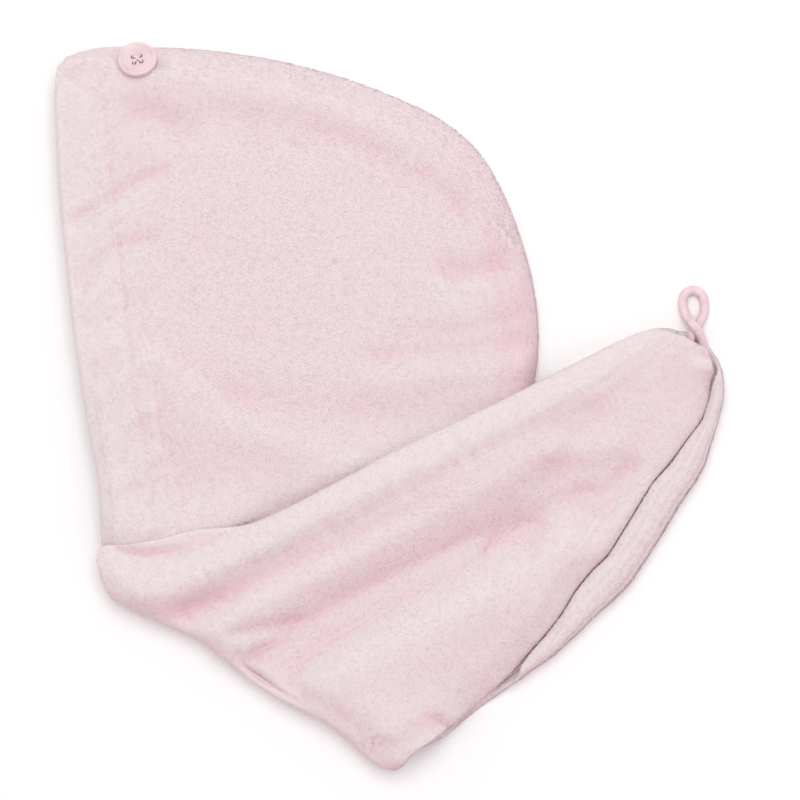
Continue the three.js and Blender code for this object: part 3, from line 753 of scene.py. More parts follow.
# Folds of the hood's front panel, in the picture's pixels: its plump rim, the pull of the button, and creases.
HOOD_FOLDS = (
    Fold("rim", ((175, 72), (250, 79), (320, 98), (390, 124), (435, 152), (465, 182), (490, 215)), (8, 22), 3.4),
    Fold("rim valley", ((175, 96), (235, 108), (300, 125), (345, 142), (385, 158), (430, 190), (455, 212)), (10, 10),
         -0.5),
    Fold("valley's deepest part", ((318, 128), (350, 142), (385, 156)), (8, 8), -0.9),
    Fold("shoulder dent", ((425, 178), (443, 196), (456, 212)), (7, 8), -1.3),
    Fold("button's pull", ((138, 114), (158, 121), (178, 134)), (10, 9), -2.6),
    Fold("side dent", ((448, 275), (475, 273), (500, 268)), (9, 6), -2.4),
    Fold("side ridge", ((440, 303), (480, 296), (520, 290)), (8, 7), 0.6),
    Fold("upper crease", ((400, 334), (450, 331), (495, 323), (528, 312)), (4, 5), -1.0),
    Fold("under the upper crease", ((375, 358), (440, 352), (528, 342)), (7, 8), -2.0),
    Fold("lower crease", ((425, 391), (480, 385), (530, 378)), (4.5, 5), -0.4),
    Fold("tail's shade", ((235, 398), (300, 410), (400, 416), (470, 408)), (12, 12), -2.0),
    Fold("arch", ((92, 456), (106, 418), (124, 384), (146, 358), (166, 366), (205, 399), (245, 426), (300, 450),
         (360, 466), (430, 466)), (7, 38), 3.0, (1.0, 0.3)),
    Fold("long valley", ((140, 398), (152, 420), (190, 446), (240, 476), (292, 492)), (8, 9), 0.6),
    Fold("low bump", ((152, 520), (200, 512), (255, 500)), (9, 9), 1.2),
    Fold("rise to the fold", ((100, 552), (150, 546), (190, 542), (222, 532)), (20, 6), 6.6, (1.0, 0.5)),
    Fold("first hem ridge", ((75, 172), (108, 152), (150, 142)), (6, 6), 0.2),
    Fold("first hem dent", ((70, 226), (93, 212), (114, 197), (135, 184), (163, 172)), (4, 4), -3.6, (1.0, 0.4)),
    Fold("second hem ridge", ((84, 240), (97, 222), (118, 203), (152, 192), (182, 188)), (4.5, 6), 0.1, (1.0, 0.5)),
    Fold("second hem dent", ((80, 288), (98, 264), (122, 247), (150, 240)), (4.5, 4.5), -1.5),
    Fold("third hem ridge", ((85, 305), (112, 280), (150, 264)), (5, 6), 0.3),
    Fold("third hem dent", ((88, 334), (112, 314), (140, 302)), (4, 4), -0.4),
    Fold("fourth hem ridge", ((92, 354), (125, 334), (165, 315)), (4.5, 5), 0.1),
    Fold("fourth hem dent", ((95, 372), (120, 354), (145, 338)), (3.5, 4), -0.6),
    Fold("fifth hem ridge", ((98, 396), (122, 374), (140, 360)), (5, 6), 1.6),
    Fold("fifth hem dent", ((100, 420), (122, 398), (138, 384)), (4, 4), 0.6),
    Fold("sixth hem ridge", ((105, 444), (125, 426), (148, 408)), (4, 4.5), 1.3),
    Fold("sixth hem dent", ((108, 466), (130, 447), (152, 430)), (4, 4), 0.1),
    Fold("seventh hem ridge", ((112, 488), (135, 470), (156, 450)), (4, 4.5), 1.1),
    Fold("hem's last dent", ((104, 512), (118, 502), (140, 494)), (4, 4), -0.4),
)

# Folds of the tail's upper panel, in the picture's pixels.
TAIL_FOLDS = (
    Fold("hem ridge", ((104, 584), (124, 593), (150, 595), (176, 588), (210, 570), (255, 546), (300, 521), (350, 496),
         (400, 471), (440, 452), (500, 425), (545, 405), (590, 385)), (12, 8), 5.0, (1.0, 0.35)),
    Fold("fold's steep side", ((128, 622), (160, 624), (190, 616), (215, 604)), (7, 12), -6.8, (0.8, 0.4)),
    Fold("stitch valley", ((186, 612), (215, 600), (252, 583), (292, 564), (330, 548), (380, 524), (430, 501),
         (470, 484)), (7, 6), -3.0, (1.2, 0.15)),
    Fold("stitch ridge", ((208, 638), (222, 627), (241, 615), (264, 603), (300, 585), (343, 562), (404, 529),
         (440, 508), (480, 487), (522, 468)), (6, 7), 1.6, (1.2, 0.3)),
    Fold("behind the bump", ((230, 634), (262, 627), (294, 620)), (4, 4), -2.0),
    Fold("small bump", ((244, 648), (262, 644), (280, 641)), (4.5, 5), 2.2),
    Fold("second valley", ((272, 664), (290, 652), (312, 638), (345, 619), (408, 587), (470, 558), (520, 538)),
         (15, 16), -16.5, (1.0, 0.8)),
    Fold("valley's mouth", ((238, 686), (254, 672), (272, 660)), (8, 10), -1.6),
    Fold("seam's crest", ((392, 728), (410, 716), (440, 696), (470, 674), (497, 652), (516, 632), (533, 611),
         (552, 586), (572, 558)), (24, 9), 3.8, (0.8, 0.6)),
    Fold("dimple's shoulder", ((556, 450), (580, 450), (612, 444)), (8, 9), 3.4, (1.0, 0.7)),
    Fold("dimple's fall", ((560, 500), (582, 496)), (7, 8), -2.8),
    Fold("dimple", ((590, 500), (606, 498), (620, 490), (634, 476)), (8, 9), -3.6, (1.0, 0.8)),
    Fold("under the dimple", ((548, 520), (600, 520), (642, 492)), (9, 10), -3.8),
    Fold("fold's crease", ((300, 704), (330, 716), (350, 732), (368, 748), (384, 762)), (9, 10), -4.2),
    Fold("roll's fall", ((116, 608), (150, 626), (200, 640), (232, 660), (262, 684), (300, 702)), (6, 8), -3.2),
    Fold("first hem bump", ((600, 396), (612, 392)), (4, 4), 0.4),
    Fold("second hem bump", ((622, 403), (632, 398)), (4, 4), 0.2),
    Fold("third hem bump", ((640, 384), (652, 380)), (5, 4), 0.4),
)


def settle(values: np.ndarray, share: np.ndarray, rounds: int) -> np.ndarray:
    """Evens out heights, as plush does that has lain a while.

    Args:
        values: Rows by columns of heights.
        share: How far each point may settle, from 0 to 1.
        rounds: How often each point is drawn to its neighbours.

    Returns:
        The settled heights.
    """
    values = values.copy()
    for _ in range(rounds):
        for axis in (0, 1):
            padded = np.concatenate([values.take([0], axis), values, values.take([-1], axis)], axis)
            length = values.shape[axis]
            beside = padded.take(range(length), axis) + padded.take(range(2, length + 2), axis)
            values += share * (0.25 * beside - 0.5 * values)
    return values


def plumpness(distance: np.ndarray, reach: float, full: float, drawn: float) -> np.ndarray:
    """Says how many times taller a plump rim stands than the source's.

    Args:
        distance: Each point's distance from the rim's seam, in millimetres.
        reach: Where both are level again, in millimetres.
        full: How steeply the plump rim rises at the seam.
        drawn: How steeply the source's does.

    Returns:
        The factor for each point.
    """
    left = 1.0 - np.clip(distance / reach, 0.01, 1.0)
    return (1.0 - left ** full) / (1.0 - left ** drawn)


def raise_folds(panel: SoftPanel, folds: Sequence[Fold], share: np.ndarray) -> None:
    """Lifts and lowers a panel's cloth by its folds.

    Args:
        panel: The panel, both of whose faces move together.
        folds: The folds, as seen from above.
        share: How much of them each point gets.
    """
    x, y = panel.middle[:, :, 0], panel.middle[:, :, 1]
    panel.middle[:, :, 2] += share * sum((fold.rise(x, y) for fold in folds), np.zeros(x.shape))


def shape_hood(panel: SoftPanel) -> None:
    """Lets the hood's front settle, then gives it its plump rim and its own folds."""
    panel.middle[:, :, 2] = settle(panel.middle[:, :, 2], panel.hood_share * panel.off_seam(4.0, 22.0), 45)
    panel.settle_walls(2)
    x, y, z = (panel.middle[:, :, k] for k in range(3))
    # The source lets the hood fall before it meets the tail; here it stays full and falls beneath it.
    from_press = -distance_to_line(x, y, PRESS_LINE)[0]
    pressed = 0.16 + 0.84 * smooth_step(-26.0, 26.0, from_press)
    slower = 0.16 + 0.84 * smooth_step(-34.0, 4.0, from_press)
    # The rim is plump: its cloth stands up close to the seam and is level after it.
    from_button = np.hypot(x - BUTTON_SPOT[0], y - BUTTON_SPOT[1])
    plump = 1.0 + (plumpness(panel.seam_distance(), 23.0, 3.6, 2) - 1.0) * smooth_step(13.0, 27.0, from_button)
    change = 1.0 + (slower / pressed * plump - 1.0) * panel.hood_share
    over = z - FLAT_HOOD
    panel.middle[:, :, 2] = FLAT_HOOD + np.where(over > 0.0, over * change, over)
    free = smooth_step(-14.0, -2.0, -distance_to_line(x, y, TAIL_HEM)[0])
    raise_folds(panel, HOOD_FOLDS, panel.hood_share * free * panel.edge_share(9.0))


def shape_tail(panel: SoftPanel) -> None:
    """Lets the tail's upper panel settle, then gives it its own folds."""
    share = panel.tail_share * panel.edge_share(8.0)
    panel.middle[:, :, 2] = settle(panel.middle[:, :, 2], share, 90)
    held = 1.0 - smooth_step(panel.row_place[-1] - 7.0, panel.row_place[-1] - 3.0, panel.row_place)[:, None]
    for k in (0, 1):
        panel.middle[:, :, k] = settle(panel.middle[:, :, k], share * held, 160)
    panel.settle_walls(4)
    from_seam = panel.seam_distance()
    seam_low = 1.0 - smooth_step(6.5, 10.5, panel.middle[:, -1:, 2])
    plump = 1.0 + (plumpness(from_seam, 22.0, 4.5, 1.6) - 1.0) * panel.tail_share * seam_low
    height = panel.middle[:, :, 2]
    panel.middle[:, :, 2] = np.where(height > FLAT_TAIL, FLAT_TAIL + (height - FLAT_TAIL) * plump, height)
    lip = 0.9 * bell(from_seam, 4.0) + 0.6 * bell(from_seam, 2.6)
    panel.middle[:, :, 2] += lip * panel.tail_share
    # The seam holds the cloth thin.
    panel.half *= (1.0 - 0.5 * bell(from_seam, 3.0) * panel.tail_share)[:, :, None]
    # The hem's side lies lower than in the source, on the full hood.
    sunk = 0.72 + 0.28 * panel.off_hem(0.0, 60.0)
    tall = np.maximum(panel.middle[:, :, 2] - 12.0, 0.0)
    panel.middle[:, :, 2] -= tall * (1.0 - sunk) * panel.tail_share
    raise_folds(panel, TAIL_FOLDS, panel.past_fold(0.0, 3.0) * panel.off_seam(0.0, 16.0))


def open_fold_end(panel: SoftPanel, reach: float, drop: float) -> None:
    """Draws the hem at the fold's open end out over the hood, where the towel's mouth turns over.

    Args:
        panel: The panel whose tail hem moves.
        reach: How far it moves, in millimetres.
        drop: How far it sinks, in millimetres.
    """
    at_hem = 1.0 - panel.off_hem(0.0, 26.0)
    at_end = 1.0 - smooth_step(-112.0, -70.0, panel.middle[:, :, 0])
    share = at_hem * at_end * panel.past_fold(0.5, 2.5)
    panel.middle[:, :, 1] += reach * share
    panel.middle[:, :, 2] -= drop * share
    panel.half *= (1.0 - 0.7 * at_hem * share)[:, :, None]


def round_corner(panel: SoftPanel) -> None:
    """Rounds the hood's top corner, which the source cuts off straight."""
    across = np.linspace(0.0, 1.0, len(panel.across))[None, :]
    near_end = (1.0 - np.clip(panel.row_place, 0.0, 1.8) / 1.8)[:, None] ** 2
    turn = math.radians(80.0) * across
    bulge = 2.0 * near_end * np.sin(math.pi * across) ** 0.7
    panel.middle[:, :, 0] -= bulge * np.cos(turn)
    panel.middle[:, :, 1] += bulge * np.sin(turn)
    beside = np.sin(math.pi * np.clip(panel.row_place / 3.0, 0.0, 1.0))[:, None]
    panel.middle[:, :, 1] += 1.3 * beside * smooth_step(0.6, 1.0, across)


def pucker_hem(panel: SoftPanel, height: float, seed: int) -> None:
    """Draws the cloth in along the hem's stitch line, in small slanting puckers.

    Args:
        panel: The panel.
        height: Height of the puckers, in millimetres.
        seed: Which pattern of them it gets.
    """
    away = panel.hem_distance() - HEM_DEPTH
    run = panel.along[:, None] + 0.55 * away
    chance = np.random.default_rng(seed)
    waves = np.zeros(run.shape)
    for length in PUCKER_LENGTHS:
        waves += np.sin(2 * math.pi * run / length + chance.uniform(0, 2 * math.pi))
    near = bell(away, np.where(away < 0, 11.0, 5.0))
    present = (1.0 - 0.8 * panel.roll_share) * (1.0 - smooth_step(72.0, 98.0, panel.middle[:, :, 0]))
    lumps = lattice_noise(panel.middle.reshape(-1, 3), 4.5, seed).reshape(run.shape) * bell(away, 5.0)
    panel.middle[:, :, 2] += present * (height * (0.3 * waves * near + 0.5 * lumps)
                                        - 0.5 * height * bell(away, 2.0))


def fit_fold(panel: SoftPanel, margin: float) -> None:
    """Brings the roll round the fold to the reach that the laid towel shows.

    Args:
        panel: The panel, the outer one first.
        margin: How far inside the outline the panel's outermost face stays, in millimetres.
    """
    (ax, ay), (bx, by) = FOLD_LINE
    length = math.dist(*FOLD_LINE)
    forward = np.array([bx - ax, by - ay]) / length
    outward = np.array([forward[1], -forward[0]])
    offset = panel.middle[:, :, :2] - np.array([ax, ay])
    past = offset @ outward
    share = (offset @ forward) / length
    shares, reaches = zip(*FOLD_REACH)
    near_roll = np.abs(panel.row_place - panel.FOLD_ROW) < 4.5
    thickness = np.linalg.norm(panel.half, axis=2)
    widest = (past + thickness)[near_roll].max(axis=0)
    wanted = np.interp(share[near_roll].mean(axis=0), shares, reaches) - margin
    scale = np.clip(wanted / widest, 0.1, 1.4)
    panel.middle[:, :, :2] += np.where(past > 0, past * (scale - 1.0), 0.0)[:, :, None] * outward


def fit_groove(upper: SoftPanel, lower: SoftPanel) -> None:
    """Brings the tail's upper panel and the rolled-up edge of the lower one together at their groove.

    Args:
        upper: The outer panel, whose seam edge ends at the groove.
        lower: The inner panel, whose edge is rolled up beyond it.
    """
    edge = upper.middle[:, -1, :2]
    shift = (nearest_on_line(edge, TAIL_GROOVE) - edge) * upper.tail_share
    shift = np.stack([settle(shift[:, None, k], np.ones(1), 6)[:, 0] for k in (0, 1)], axis=1)
    upper.middle[:, :, :2] += (1.0 - upper.off_seam(0.0, 55.0))[:, :, None] * shift[:, None, :]
    rolled = lower.column_place > ROLL_COLUMN
    spots = lower.middle[:, rolled, :2]
    beyond = -distance_to_line(spots[..., 0], spots[..., 1], TAIL_GROOVE)[0]
    foot = nearest_on_line(spots, TAIL_GROOVE)
    width = np.abs(distance_to_line(foot[..., 0], foot[..., 1], TAIL_OUTLINE)[0])
    half = np.linalg.norm(lower.half[:, rolled, :], axis=2).mean(axis=1)
    inmost = beyond[:, -14:].min(axis=1) - half
    outmost = beyond.max(axis=1) + half
    target_width = np.median(width, axis=1)
    scale = (target_width + GROOVE_OVERLAP) / np.maximum(outmost - inmost, 1.0)
    moved = (beyond - inmost[:, None]) * scale[:, None] - GROOVE_OVERLAP
    outward = (spots - foot) / np.maximum(np.abs(beyond), 1e-6)[..., None] * np.sign(beyond)[..., None]
    blend = smooth_step(ROLL_COLUMN, ROLL_COLUMN + 1.0, lower.column_place[rolled])[None, :]
    share = lower.tail_share * lower.past_fold(4.0, 6.5)
    step = (moved - beyond) * blend * share
    lower.middle[:, rolled, :2] += step[..., None] * outward
    # The rolled edge dips into the groove and swells beyond it.
    passed = np.clip(moved / np.maximum(target_width, 1.0)[:, None], 0.0, 1.0)
    swell = 3.4 * np.sin(math.pi * np.clip(passed * 0.75 + 0.08, 0.0, 1.0)) - 0.6 * bell(moved, 2.4)
    on_top = smooth_step(5.5, 8.0, lower.middle[:, rolled, 2])
    lower.middle[:, rolled, 2] += swell * on_top * share
    tall = np.maximum(lower.middle[:, rolled, 2] - 7.0, 0.0)
    lower.middle[:, rolled, 2] -= 0.4 * tall * share
    lower.half[:, rolled] *= (1.0 - 0.5 * bell(moved, 3.0) * share * on_top)[:, :, None]


def nearest_on_line(points: np.ndarray, line: Sequence[tuple[float, float]]) -> np.ndarray:
    """Returns the nearest point on a broken line to each of the points."""
    best = np.zeros(points.shape)
    nearest = np.full(points.shape[:-1], np.inf)
    for a, b in zip(np.array(line), np.array(line)[1:]):
        step = b - a
        along = np.clip(((points - a) @ step) / (step @ step), 0.0, 1.0)
        spot = a + along[..., None] * step
        away = np.linalg.norm(points - spot, axis=-1)
        closer = away < nearest
        nearest = np.where(closer, away, nearest)
        best = np.where(closer[..., None], spot, best)
    return best


def keep_clear(panel: SoftPanel, below: bpy.types.Object, gap: float, share: np.ndarray) -> None:
    """Lifts a panel's cloth wherever its folds would sink into what lies under it.

    Args:
        panel: The upper panel.
        below: The finished piece that it lies on.
        gap: The least free height between them, in millimetres.
        share: Which points are tested, where it is over a half.
    """
    tree = tree_of(below)
    thickness = np.abs(panel.half[:, :, 2])
    for row, column in zip(*np.nonzero(np.broadcast_to(share, thickness.shape) > 0.5)):
        spot = panel.middle[row, column]
        hit = tree.ray_cast(Vector((spot[0], spot[1], HIGH_ABOVE)) * MM, Vector((0, 0, -1)))[0]
        if hit is not None:
            spot[2] = max(spot[2], hit.z / MM + gap + thickness[row, column])


def lattice_noise(places: np.ndarray, size: float, seed: int) -> np.ndarray:
    """Gives smooth random values from -1 to 1 in space.

    Args:
        places: Points, in millimetres.
        size: The distance over which the values change, in millimetres.
        seed: Which values.

    Returns:
        One value for each point.
    """
    table = np.random.default_rng(seed).uniform(-1.0, 1.0, (LATTICE_SIDE,) * 3)
    cell = np.floor(places / size).astype(int)
    t = places / size - cell
    t = t * t * (3.0 - 2.0 * t)
    value = np.zeros(len(places))
    for corner in np.ndindex(2, 2, 2):
        weight = np.prod(np.where(np.array(corner) == 1, t, 1.0 - t), axis=1)
        value += weight * table[tuple(((cell + corner) % LATTICE_SIDE).T)]
    return value


@dataclass
class PileCoat:
    """The brushed pile: short pointed tufts, rooted in the cloth wherever it lies open to view.

    Args:
        name: The piece's name.
        tufts: How many it has.
        seed: Where they stand.
        length: A tuft's length, in millimetres.
        width: A tuft's width at its foot, in millimetres.
        lean: How far it leans, in degrees from upright.
        stray: How much that differs from tuft to tuft, in degrees.
        lock: The size of the locks that lean together, in millimetres.
        table_gap: The lowest that a tuft comes to the table, in millimetres.
    """

    name: str
    tufts: int
    seed: int
    length: float = 1.6
    width: float = 0.32
    lean: float = 80.0
    stray: float = 3.0
    lock: float = 1.7
    table_gap: float = 0.05

    # Where the towel may be looked at from: above, aslant and low on each side.
    LOOKS = ((0.0, 0.0, 1.0), (0.7, 0.0, 0.7), (-0.7, 0.0, 0.7), (0.0, 0.7, 0.7), (0.0, -0.7, 0.7),
             (1.0, 0.0, 0.12), (-1.0, 0.0, 0.12), (0.0, 1.0, 0.12), (0.0, -1.0, 0.12))

    def _open_to_view(self, cloth: bpy.types.Mesh, cover: BVHTree) -> np.ndarray:
        """Returns 1 for the cloth's faces that can be seen from above or the side, else 0."""
        seen = np.zeros(len(cloth.polygons))
        looks = [Vector(look).normalized() for look in self.LOOKS]
        for number, face in enumerate(cloth.polygons):
            start = face.center + face.normal * (0.9 * MM)
            for look in looks:
                if face.normal.dot(look) > 0.2 and cover.ray_cast(start, look)[0] is None:
                    seen[number] = 1.0
                    break
        return seen

    def build(self, host: bpy.types.Object, cover: BVHTree) -> bpy.types.Object:
        """Roots the tufts in a piece of cloth.

        Args:
            host: The cloth that carries them.
            cover: All of the towel's cloth, which may hide parts of the host.

        Returns:
            The tufts as one piece.
        """
        cloth = host.data
        chance = np.random.default_rng(self.seed)
        cloth.calc_loop_triangles()
        parts = cloth.loop_triangles
        corners, loops = (self._read(parts, name, 3, int) for name in ("vertices", "loops"))
        faces, area = self._read(parts, "polygon_index", 1, int)[:, 0], self._read(parts, "area", 1)[:, 0]
        spots = self._read(cloth.vertices, "co", 3)
        normals = self._read(cloth.vertex_normals, "vector", 3)
        deep = self._read(cloth.attributes["fold_shade"].data, "value", 1)[:, 0]
        flat = self._read(cloth.uv_layers["cloth"].data, "uv", 2)
        odds = area * self._open_to_view(cloth, cover)[faces]
        count = self.tufts
        picked = chance.choice(len(parts), count, p=odds / odds.sum())
        share = chance.dirichlet((1.0, 1.0, 1.0), count)[..., None]
        corners, loops = corners[picked], loops[picked]
        root = (spots[corners] * share).sum(axis=1) / MM
        up = unit((normals[corners] * share).sum(axis=1))
        place = (flat[loops] * share).sum(axis=1)
        # Each tuft takes the cloth's painted fold shade.
        fold_shade = (deep[corners] * share[..., 0]).sum(axis=1)
        points = self._tufts(root, up, chance)
        # The table presses the lowest tufts flat.
        points[..., 2] = np.maximum(points[..., 2], self.table_gap)
        data = bpy.data.meshes.new(self.name)
        data.from_pydata(points.reshape(-1, 3) * MM, [], np.arange(3 * count).reshape(-1, 3))
        data.uv_layers.new(name="cloth").data.foreach_set("uv", np.repeat(place, 3, axis=0).ravel())
        for layer, values in (("fold_shade", np.repeat(fold_shade, 3)), ("tip", np.tile((0.0, 0.0, 1.0), count))):
            data.attributes.new(layer, "FLOAT", "POINT").data.foreach_set("value", values)
        # A lock of fibres takes the light much as the cloth under it does, so it shades that way.
        facing = unit(np.cross(points[:, 1] - points[:, 0], points[:, 2] - points[:, 0]))
        normals = unit(0.95 * up + 0.05 * facing)
        data.normals_split_custom_set_from_vertices(np.repeat(normals, 3, axis=0))
        return place_object(self.name, data)

    @staticmethod
    def _read(rows: bpy.types.bpy_prop_collection, name: str, width: int, kind: type = float) -> np.ndarray:
        """Returns one property of all the rows, as an array with so many columns."""
        values = np.zeros(len(rows) * width, kind)
        rows.foreach_get(name, values)
        return values.reshape(-1, width)

    def _tufts(self, root: np.ndarray, up: np.ndarray, chance: np.random.Generator) -> np.ndarray:
        """Stands a pointed tuft on each root, leaning with its neighbours.

        Args:
            root: Where the tufts stand, in millimetres.
            up: The cloth's outward direction there.
            chance: Where the strays come from.

        Returns:
            Each tuft's two feet and its tip, in millimetres.
        """
        count = len(root)
        turn = (0.25 * lattice_noise(root, self.lock, 11) + 0.4 * lattice_noise(root, 7 * self.lock, 12)
                + chance.normal(0.0, 0.14, count))
        across = unit(np.cross(up, (0.0, 1.0, 0.0) + 0.02 * up))
        along = np.cross(up, across)
        heading = np.cos(turn)[:, None] * across + np.sin(turn)[:, None] * along
        lean = np.radians(self.lean + self.stray * chance.normal(0.0, 1.0, count)
                          + 4.0 * lattice_noise(root, self.lock, 13)).clip(0.15, 1.45)
        axis = np.cos(lean)[:, None] * up + np.sin(lean)[:, None] * heading
        broad = unit(np.cross(axis, up))
        roll = chance.normal(0.0, 0.12, count)[:, None]
        broad = np.cos(roll) * broad + np.sin(roll) * np.cross(axis, broad)
        length = self.length * (0.85 + 0.25 * lattice_noise(root, self.lock, 14) + chance.uniform(-0.2, 0.2, count))
        half = 0.5 * self.width * chance.uniform(0.7, 1.3, count)
        # Every tuft shows its outer face.
        half *= np.sign((np.cross(broad, axis) * up).sum(axis=1))
        foot = root - 0.15 * up
        return np.stack([foot - half[:, None] * broad, foot + half[:, None] * broad,
                         root + length[:, None] * axis], axis=1)


@dataclass
class HemStitches:
    """The hem's row of stitches: short threads sunk in the pile where the turned hem is sewn down."""

    name: str
    pitch: float = 3.2
    length: float = 2.4
    radius: float = 0.28
    # The share of the cloth's half thickness at which the thread lies.
    sunk: float = 0.93
    # Free ends of the row.
    margin: float = 6.0

    def _line(self, panel: SoftPanel) -> np.ndarray:
        """Returns where the row runs on the panel's outer face, one point for each of its rows."""
        away = panel.hem_distance()
        outside = panel.middle + self.sunk * (panel.outside() - panel.middle)
        columns = np.arange(len(panel.across))
        points = []
        for row in np.nonzero(away.max(axis=1) > HEM_DEPTH + 12.0)[0]:
            place = np.interp(HEM_DEPTH, away[row], columns)
            points.append([np.interp(place, columns, outside[row, :, k]) for k in range(3)])
        return np.array(points)

    def build(self, panel: SoftPanel) -> bpy.types.Object:
        """Sews the row along a panel.

        Args:
            panel: The panel in its finished shape.

        Returns:
            The stitches as one piece.
        """
        line = self._line(panel)
        run = running_sum(step_lengths(line))
        mesh = bmesh.new()
        for start in np.arange(self.margin, run[-1] - self.margin, self.pitch * (1)):
            first, last = (Vector([np.interp(at, run, line[:, k]) for k in range(3)]) * MM
                           for at in (start, start + self.length))
            turned = (last - first).to_track_quat("Z", "Y").to_matrix().to_4x4()
            bmesh.ops.create_cone(mesh, cap_ends=True, segments=8, radius1=self.radius * MM,
                                  radius2=0.7 * self.radius * MM, depth=(last - first).length,
                                  matrix=Matrix.Translation(0.5 * (first + last)) @ turned)
        for face in mesh.faces:
            face.smooth = len(face.verts) == 4
        return place_mesh(self.name, mesh)


@dataclass
class ButtonLoop:
    """The loop of jersey cord that closes on the button, sewn in at the tail's tip.

    Args:
        radius: The cord's radius, in millimetres.
        sides: How many sides its round section has.
        steps: How many rings there are to each point of its route.
        route: Its middle line, in millimetres from the towel's own origin.
    """

    radius: float = 2.5
    sides: int = 20
    steps: int = 12
    route: Sequence[tuple[float, float, float]] = (
        (169.6, 27, 5.9), (169.2, 32, 6), (167.6, 37.2, 7.1), (165, 42, 9.9), (161.6, 46.5, 7.6),
        (158.8, 51.5, 3.6), (157.6, 57, 2.5), (159, 62, 2.5), (163.4, 63.9, 2.5), (167.8, 61.6, 2.5),
        (169.5, 56.5, 2.5), (169, 51, 2.5), (167, 47, 3.1), (164.8, 43.6, 4.6), (163, 40.4, 6),
        (161.4, 36.4, 6), (160.8, 32, 5.9))

    def build(self) -> bpy.types.Object:
        """Carries a round section along the cord's route."""
        points = np.array(self.route) + np.array((*TOWEL_ORIGIN, 0.0))
        knots = running_sum(np.sqrt(step_lengths(points)))
        line = curve_through(points, knots, np.linspace(0.0, knots[-1], self.steps * len(points)))
        run = running_sum(step_lengths(line))
        forward = unit(np.gradient(line, axis=0))
        side = unit(np.cross(forward, (0.0, 0.0, 1.0)))
        above = np.cross(side, forward)
        angle = np.linspace(0.0, 2 * math.pi, self.sides + 1)
        radius = self.radius * round_ends(run, self.radius)[:, None, None]
        rings = line[:, None] + radius * (np.cos(angle)[None, :, None] * side[:, None]
                                          + np.sin(angle)[None, :, None] * above[:, None])
        rings[:, -1] = rings[:, 0]
        piece = sleeve("loop_cord", rings, angle * self.radius, run)
        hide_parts("button_loop")
        return piece


